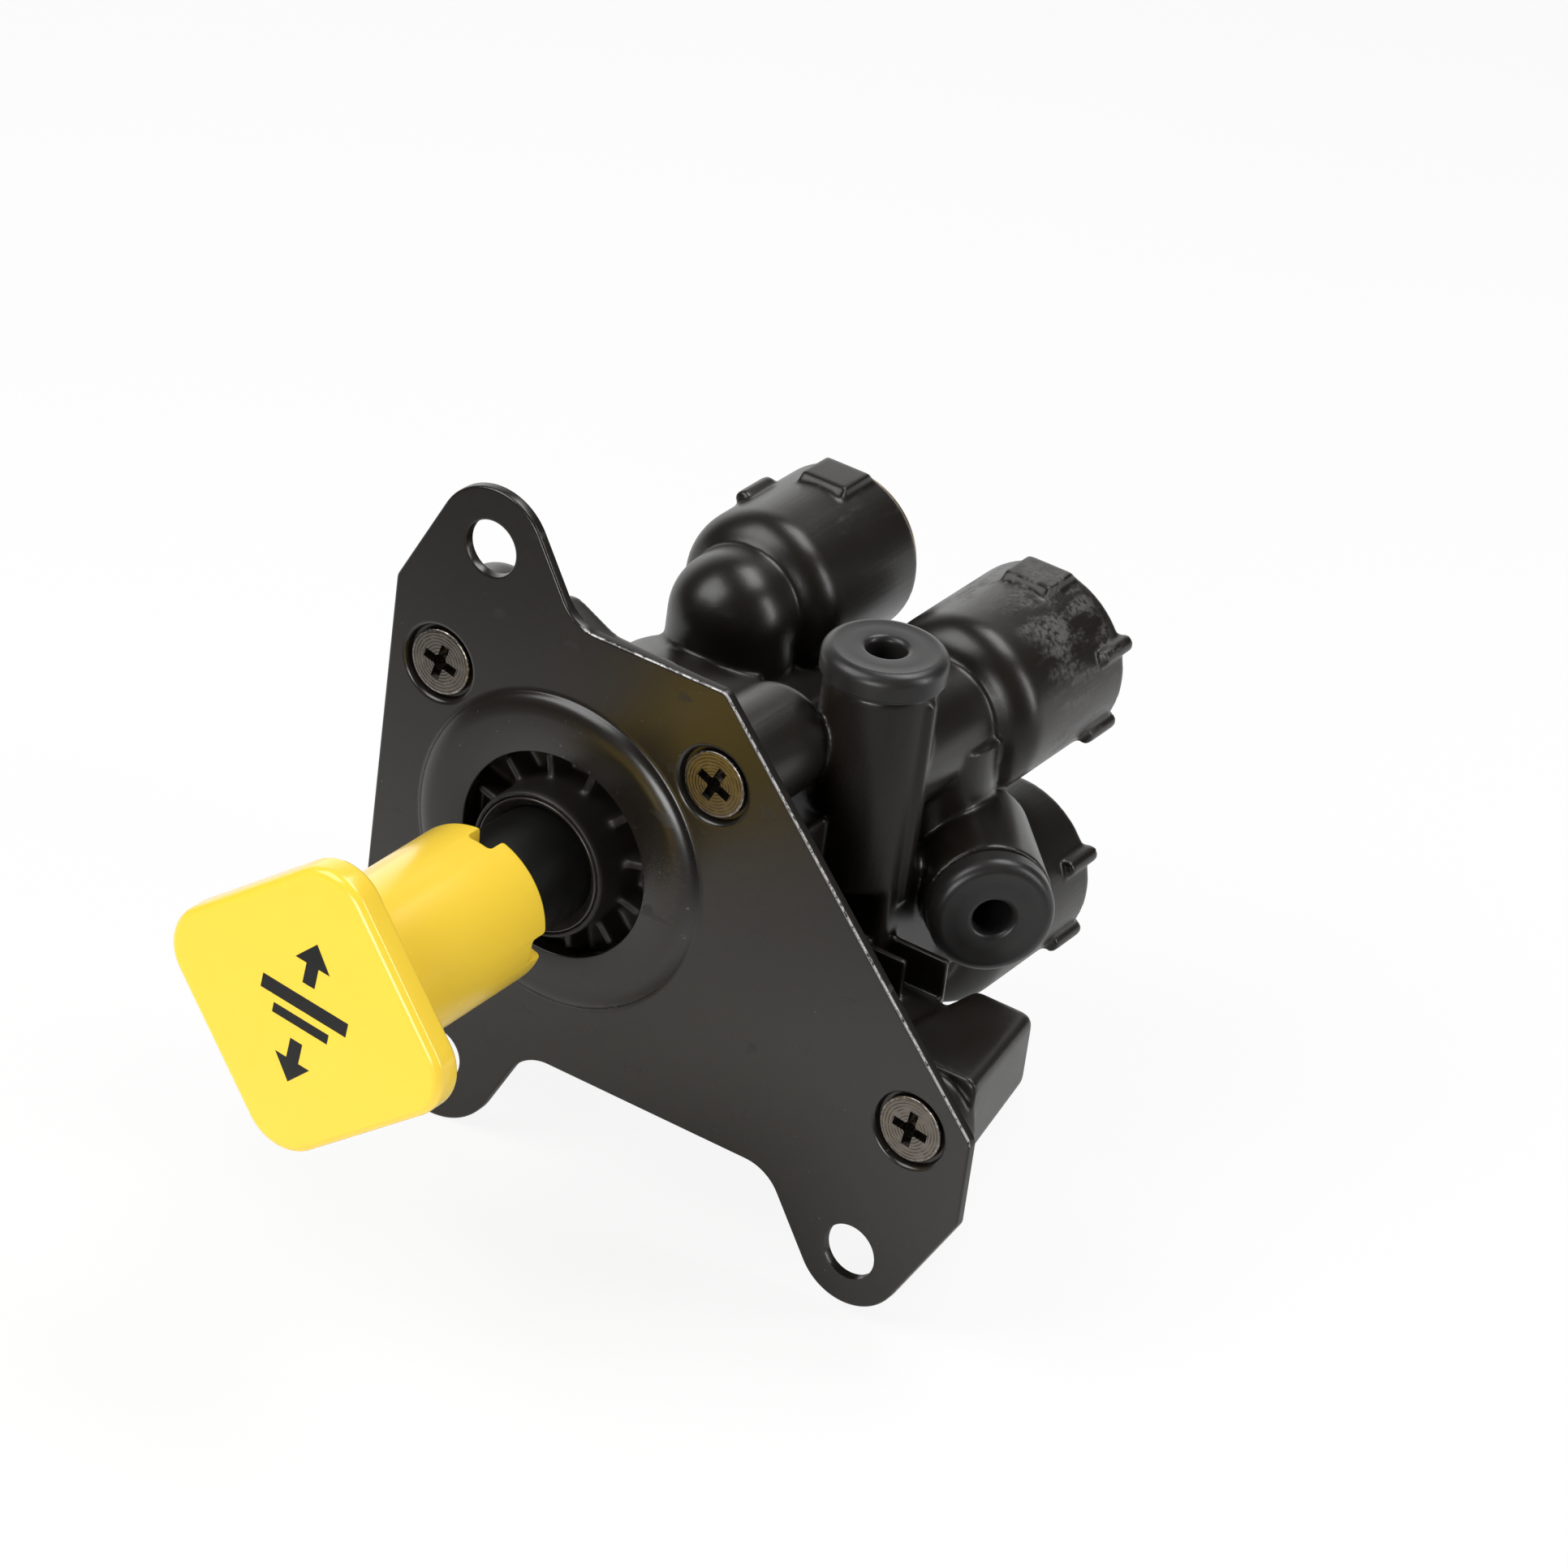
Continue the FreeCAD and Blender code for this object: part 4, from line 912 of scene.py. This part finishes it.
def port_fittings(dull, brass):
    """Retainers and brass release collets in the four ports."""
    seat = -8.7
    face = 1.6
    retainer = [(6.7, seat + 2.6), (6.7, face - 0.6), (7.3, face)]
    retainer += arc(13.1, face - 0.5, 0.5, 90, 0, 5)
    retainer += [(13.6, 0.3), (11.2, 0.3), (11.2, seat), (8.4, seat)]
    lip = face + 1.05
    sleeve = [(4.85, lip - 10.8), (6.2, lip - 10.8), (6.6, lip - 9.6), (6.6, lip), (9.2, lip)]
    sleeve += arc(8.5, lip + 1.5, 0.7, 0, 90, 5)
    sleeve += arc(5.75, lip + 1.3, 0.9, 90, 180, 6)
    spots = [(place(x, rear, z), 0) for name, x, z, rear in PORTS]
    pattern = lathe("retainer_pattern", retainer, dull, turns=96)
    pattern.data.transform(Matrix.Translation(-place(0, 0, 0)))
    names = ["cartridge_" + port[0] for port in PORTS]
    repeated_on_points("port_retainers", pattern, spots, dull, names, "housing")
    bpy.data.objects.remove(pattern)
    pattern = lathe("collet_pattern", sleeve, brass, turns=96)
    pattern.data.transform(Matrix.Translation(-place(0, 0, 0)))
    for i, port in enumerate(PORTS):
        name = "collet_" + port[0]
        repeated_on_points("brass_" + name, pattern, [spots[i]], brass, [name], name)
    bpy.data.objects.remove(pattern)


def dress(material, *names):
    """Gives CAD nodes that stay as they are their finish."""
    for name in names:
        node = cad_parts[name]
        node.data.materials.clear()
        node.data.materials.append(material)
        for face in node.data.polygons:
            face.material_index = 0


def area_lamp(name, at, to, width, height, power):
    lamp = bpy.data.lights.new(name, "AREA")
    lamp.shape = "RECTANGLE"
    lamp.size = width
    lamp.size_y = height
    lamp.energy = power
    holder = bpy.data.objects.new(name, lamp)
    holder.location = place(*at)
    holder.rotation_euler = (place(*to) - place(*at)).to_track_quat("-Z", "Y").to_euler()
    bpy.context.scene.collection.objects.link(holder)


def white_stage():
    """Floor and world that the camera sees as white, with the object's soft shadow. In reflections the
    floor is painted: dark in front of the object (painted shade) and glowing behind it (painted reflected
    light).
    """
    floor_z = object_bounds()[0].z
    size = 4.0
    mesh = bpy.data.meshes.new("floor")
    corners = [(x * size, y * size, floor_z) for x, y in ((-1, -1), (1, -1), (1, 1), (-1, 1))]
    mesh.from_pydata(corners, [], [(0, 1, 2, 3)])
    paper = Finish("floor_paper", (0.9, 0.9, 0.9), 0.9)
    seen = paper.node("ShaderNodeLightPath", {}, {}, "Is Camera Ray")
    mirrored = paper.node("ShaderNodeLightPath", {}, {}, "Is Glossy Ray")
    x, y = paper.axes()[:2]
    # Painted shade in reflections: glossy rays see the floor dark far in front of the object, and a
    # little dark off to the right, while the camera sees it white.
    reflected_floor_shade = mirrored * (1 - y.over(-200, -40) * (1 - x.over(60, 220) * 0.7))
    paper.put(paper.shader, {"Base Color": paper.mixed(reflected_floor_shade, shade(0.9), shade(0.1))})
    glow = paper.node("ShaderNodeEmission", {}, {"Color": (1, 1, 1, 1), "Strength": 1.0})
    diffuse = Socket(paper, paper.shader.outputs[0])
    # Camera rays see the white backdrop glow. Glossy rays see the floor glow behind the object, a painted
    # reflected light.
    backdrop_and_reflected_glow = seen * 0.88 + mirrored * y.over(80, 300) * 0.8
    mixed = paper.node("ShaderNodeMixShader", {}, {0: backdrop_and_reflected_glow, 1: diffuse, 2: glow})
    paper.links.new(mixed.output, paper.nodes["Material Output"].inputs["Surface"])
    mesh.materials.append(paper.material)
    floor = bpy.data.objects.new("floor", mesh)
    bpy.context.scene.collection.objects.link(floor)

    world = bpy.data.worlds.new("studio")
    bpy.context.scene.world = world
    world.use_nodes = True
    nodes = world.node_tree.nodes
    links = world.node_tree.links
    backdrop = nodes["Background"]
    path = nodes.new("ShaderNodeLightPath")
    where = nodes.new("ShaderNodeTexCoord")
    away = nodes.new("ShaderNodeVectorMath")
    away.operation = "DOT_PRODUCT"
    away.inputs[1].default_value = (-0.62, 0.78, -0.05)
    links.new(where.outputs["Generated"], away.inputs[0])
    behind = nodes.new("ShaderNodeMapRange")
    behind.interpolation_type = "SMOOTHSTEP"
    behind.inputs["From Min"].default_value = 0.6
    behind.inputs["From Max"].default_value = 1.0
    behind.inputs["To Min"].default_value = 0.05
    behind.inputs["To Max"].default_value = 1.6
    links.new(away.outputs["Value"], behind.inputs["Value"])
    strength = nodes.new("ShaderNodeMapRange")
    strength.inputs["To Max"].default_value = 1.0
    links.new(path.outputs["Is Camera Ray"], strength.inputs["Value"])
    links.new(behind.outputs["Result"], strength.inputs["To Min"])
    links.new(strength.outputs["Result"], backdrop.inputs["Strength"])
    backdrop.inputs["Color"].default_value = (1, 1, 1, 1)


def make_camera():
    """Camera at the photograph's angle, with its roll."""
    turn = math.radians(CAMERA_TURN)
    rise = math.radians(CAMERA_RISE)
    roll = math.radians(CAMERA_ROLL)
    back = Vector((math.sin(turn) * math.cos(rise), -math.cos(turn) * math.cos(rise), math.sin(rise)))
    level = Vector((math.cos(turn), math.sin(turn), 0))
    upright = back.cross(level)
    right = level * math.cos(roll) + upright * math.sin(roll)
    up = upright * math.cos(roll) - level * math.sin(roll)
    lens = bpy.data.cameras.new("photo_camera")
    lens.sensor_width = 36
    lens.lens = CAMERA_LENS
    camera = bpy.data.objects.new("photo_camera", lens)
    turned = Matrix((right, up, back)).transposed().to_4x4()
    camera.matrix_world = Matrix.Translation(place(*CAMERA_AT)) @ turned
    bpy.context.scene.collection.objects.link(camera)
    bpy.context.scene.camera = camera


bpy.context.scene.view_settings.view_transform = "Standard"
make_camera()

nylon = black_nylon()
steel = coated_steel()
screw_steel = turned_screw_steel()
yellow = yellow_plastic()
brass = turned_brass("turned_brass", (0.8, 0.6, 0.33), (0.52, 0.34, 0.15))
retainer_brass = turned_brass("retainer_brass", (0.62, 0.48, 0.29), (0.38, 0.29, 0.18), 0.45)
glossy_black = plain_finish("plunger_black", (0.006, 0.0058, 0.0055), 0.3, 0.0, 2.0, 0.004)
cap_black = plain_finish("cap_black", (0.017, 0.0155, 0.015), 0.36, 0.0, 0.6, 0.006)
guide_finish = plain_finish("guide_black", (0.06, 0.053, 0.05), 0.24, 0.5, 1.0, 0.004)
spring_steel = plain_finish("spring_steel", (0.5, 0.5, 0.5), 0.35, 1.0, 0.8, 0.004)
rubber = plain_finish("ring_rubber", (0.02, 0.02, 0.02), 0.65, 0.0, 0.4, 0.01)
ink = plain_finish("knob_ink", (0.012, 0.012, 0.012), 0.35, 0.0, 0.5, 0.002)

stamped_plate(steel)
soft_housing(nylon)
screw = cross_recess_screw(screw_steel)
screw_names = ["plate_screw_" + n for n in ("left_upper", "left_lower", "middle", "arm")]
repeated_on_points("plate_screws", screw, [(place(x, 0, z), turn) for x, z, turn in SCREWS],
                   screw_steel, screw_names, "housing")
bpy.data.objects.remove(screw)
yellow_knob(yellow)
knob_print(ink)
stem_and_plunger(glossy_black)
collar_guide(guide_finish)
boss_caps(cap_black)
port_fittings(retainer_brass, brass)
dress(spring_steel, "roll_pin", "plunger_spring")
dress(rubber, "plunger_ring_1", "plunger_ring_2", "top_shuttle", "side_shuttle")
dress(rubber, *["tube_ring_" + port[0] for port in PORTS])

white_stage()
area_lamp("key", (-350, -450, 650), (0, 0, 0), 0.6, 0.6, 5.5)
area_lamp("top", (150, 350, 800), (20, 40, 0), 0.55, 0.35, 4)
area_lamp("side", (700, 250, 300), (20, 30, 0), 0.1, 0.5, 1.8)
area_lamp("front", (250, -900, 150), (0, -40, 0), 0.4, 0.3, 3.5)
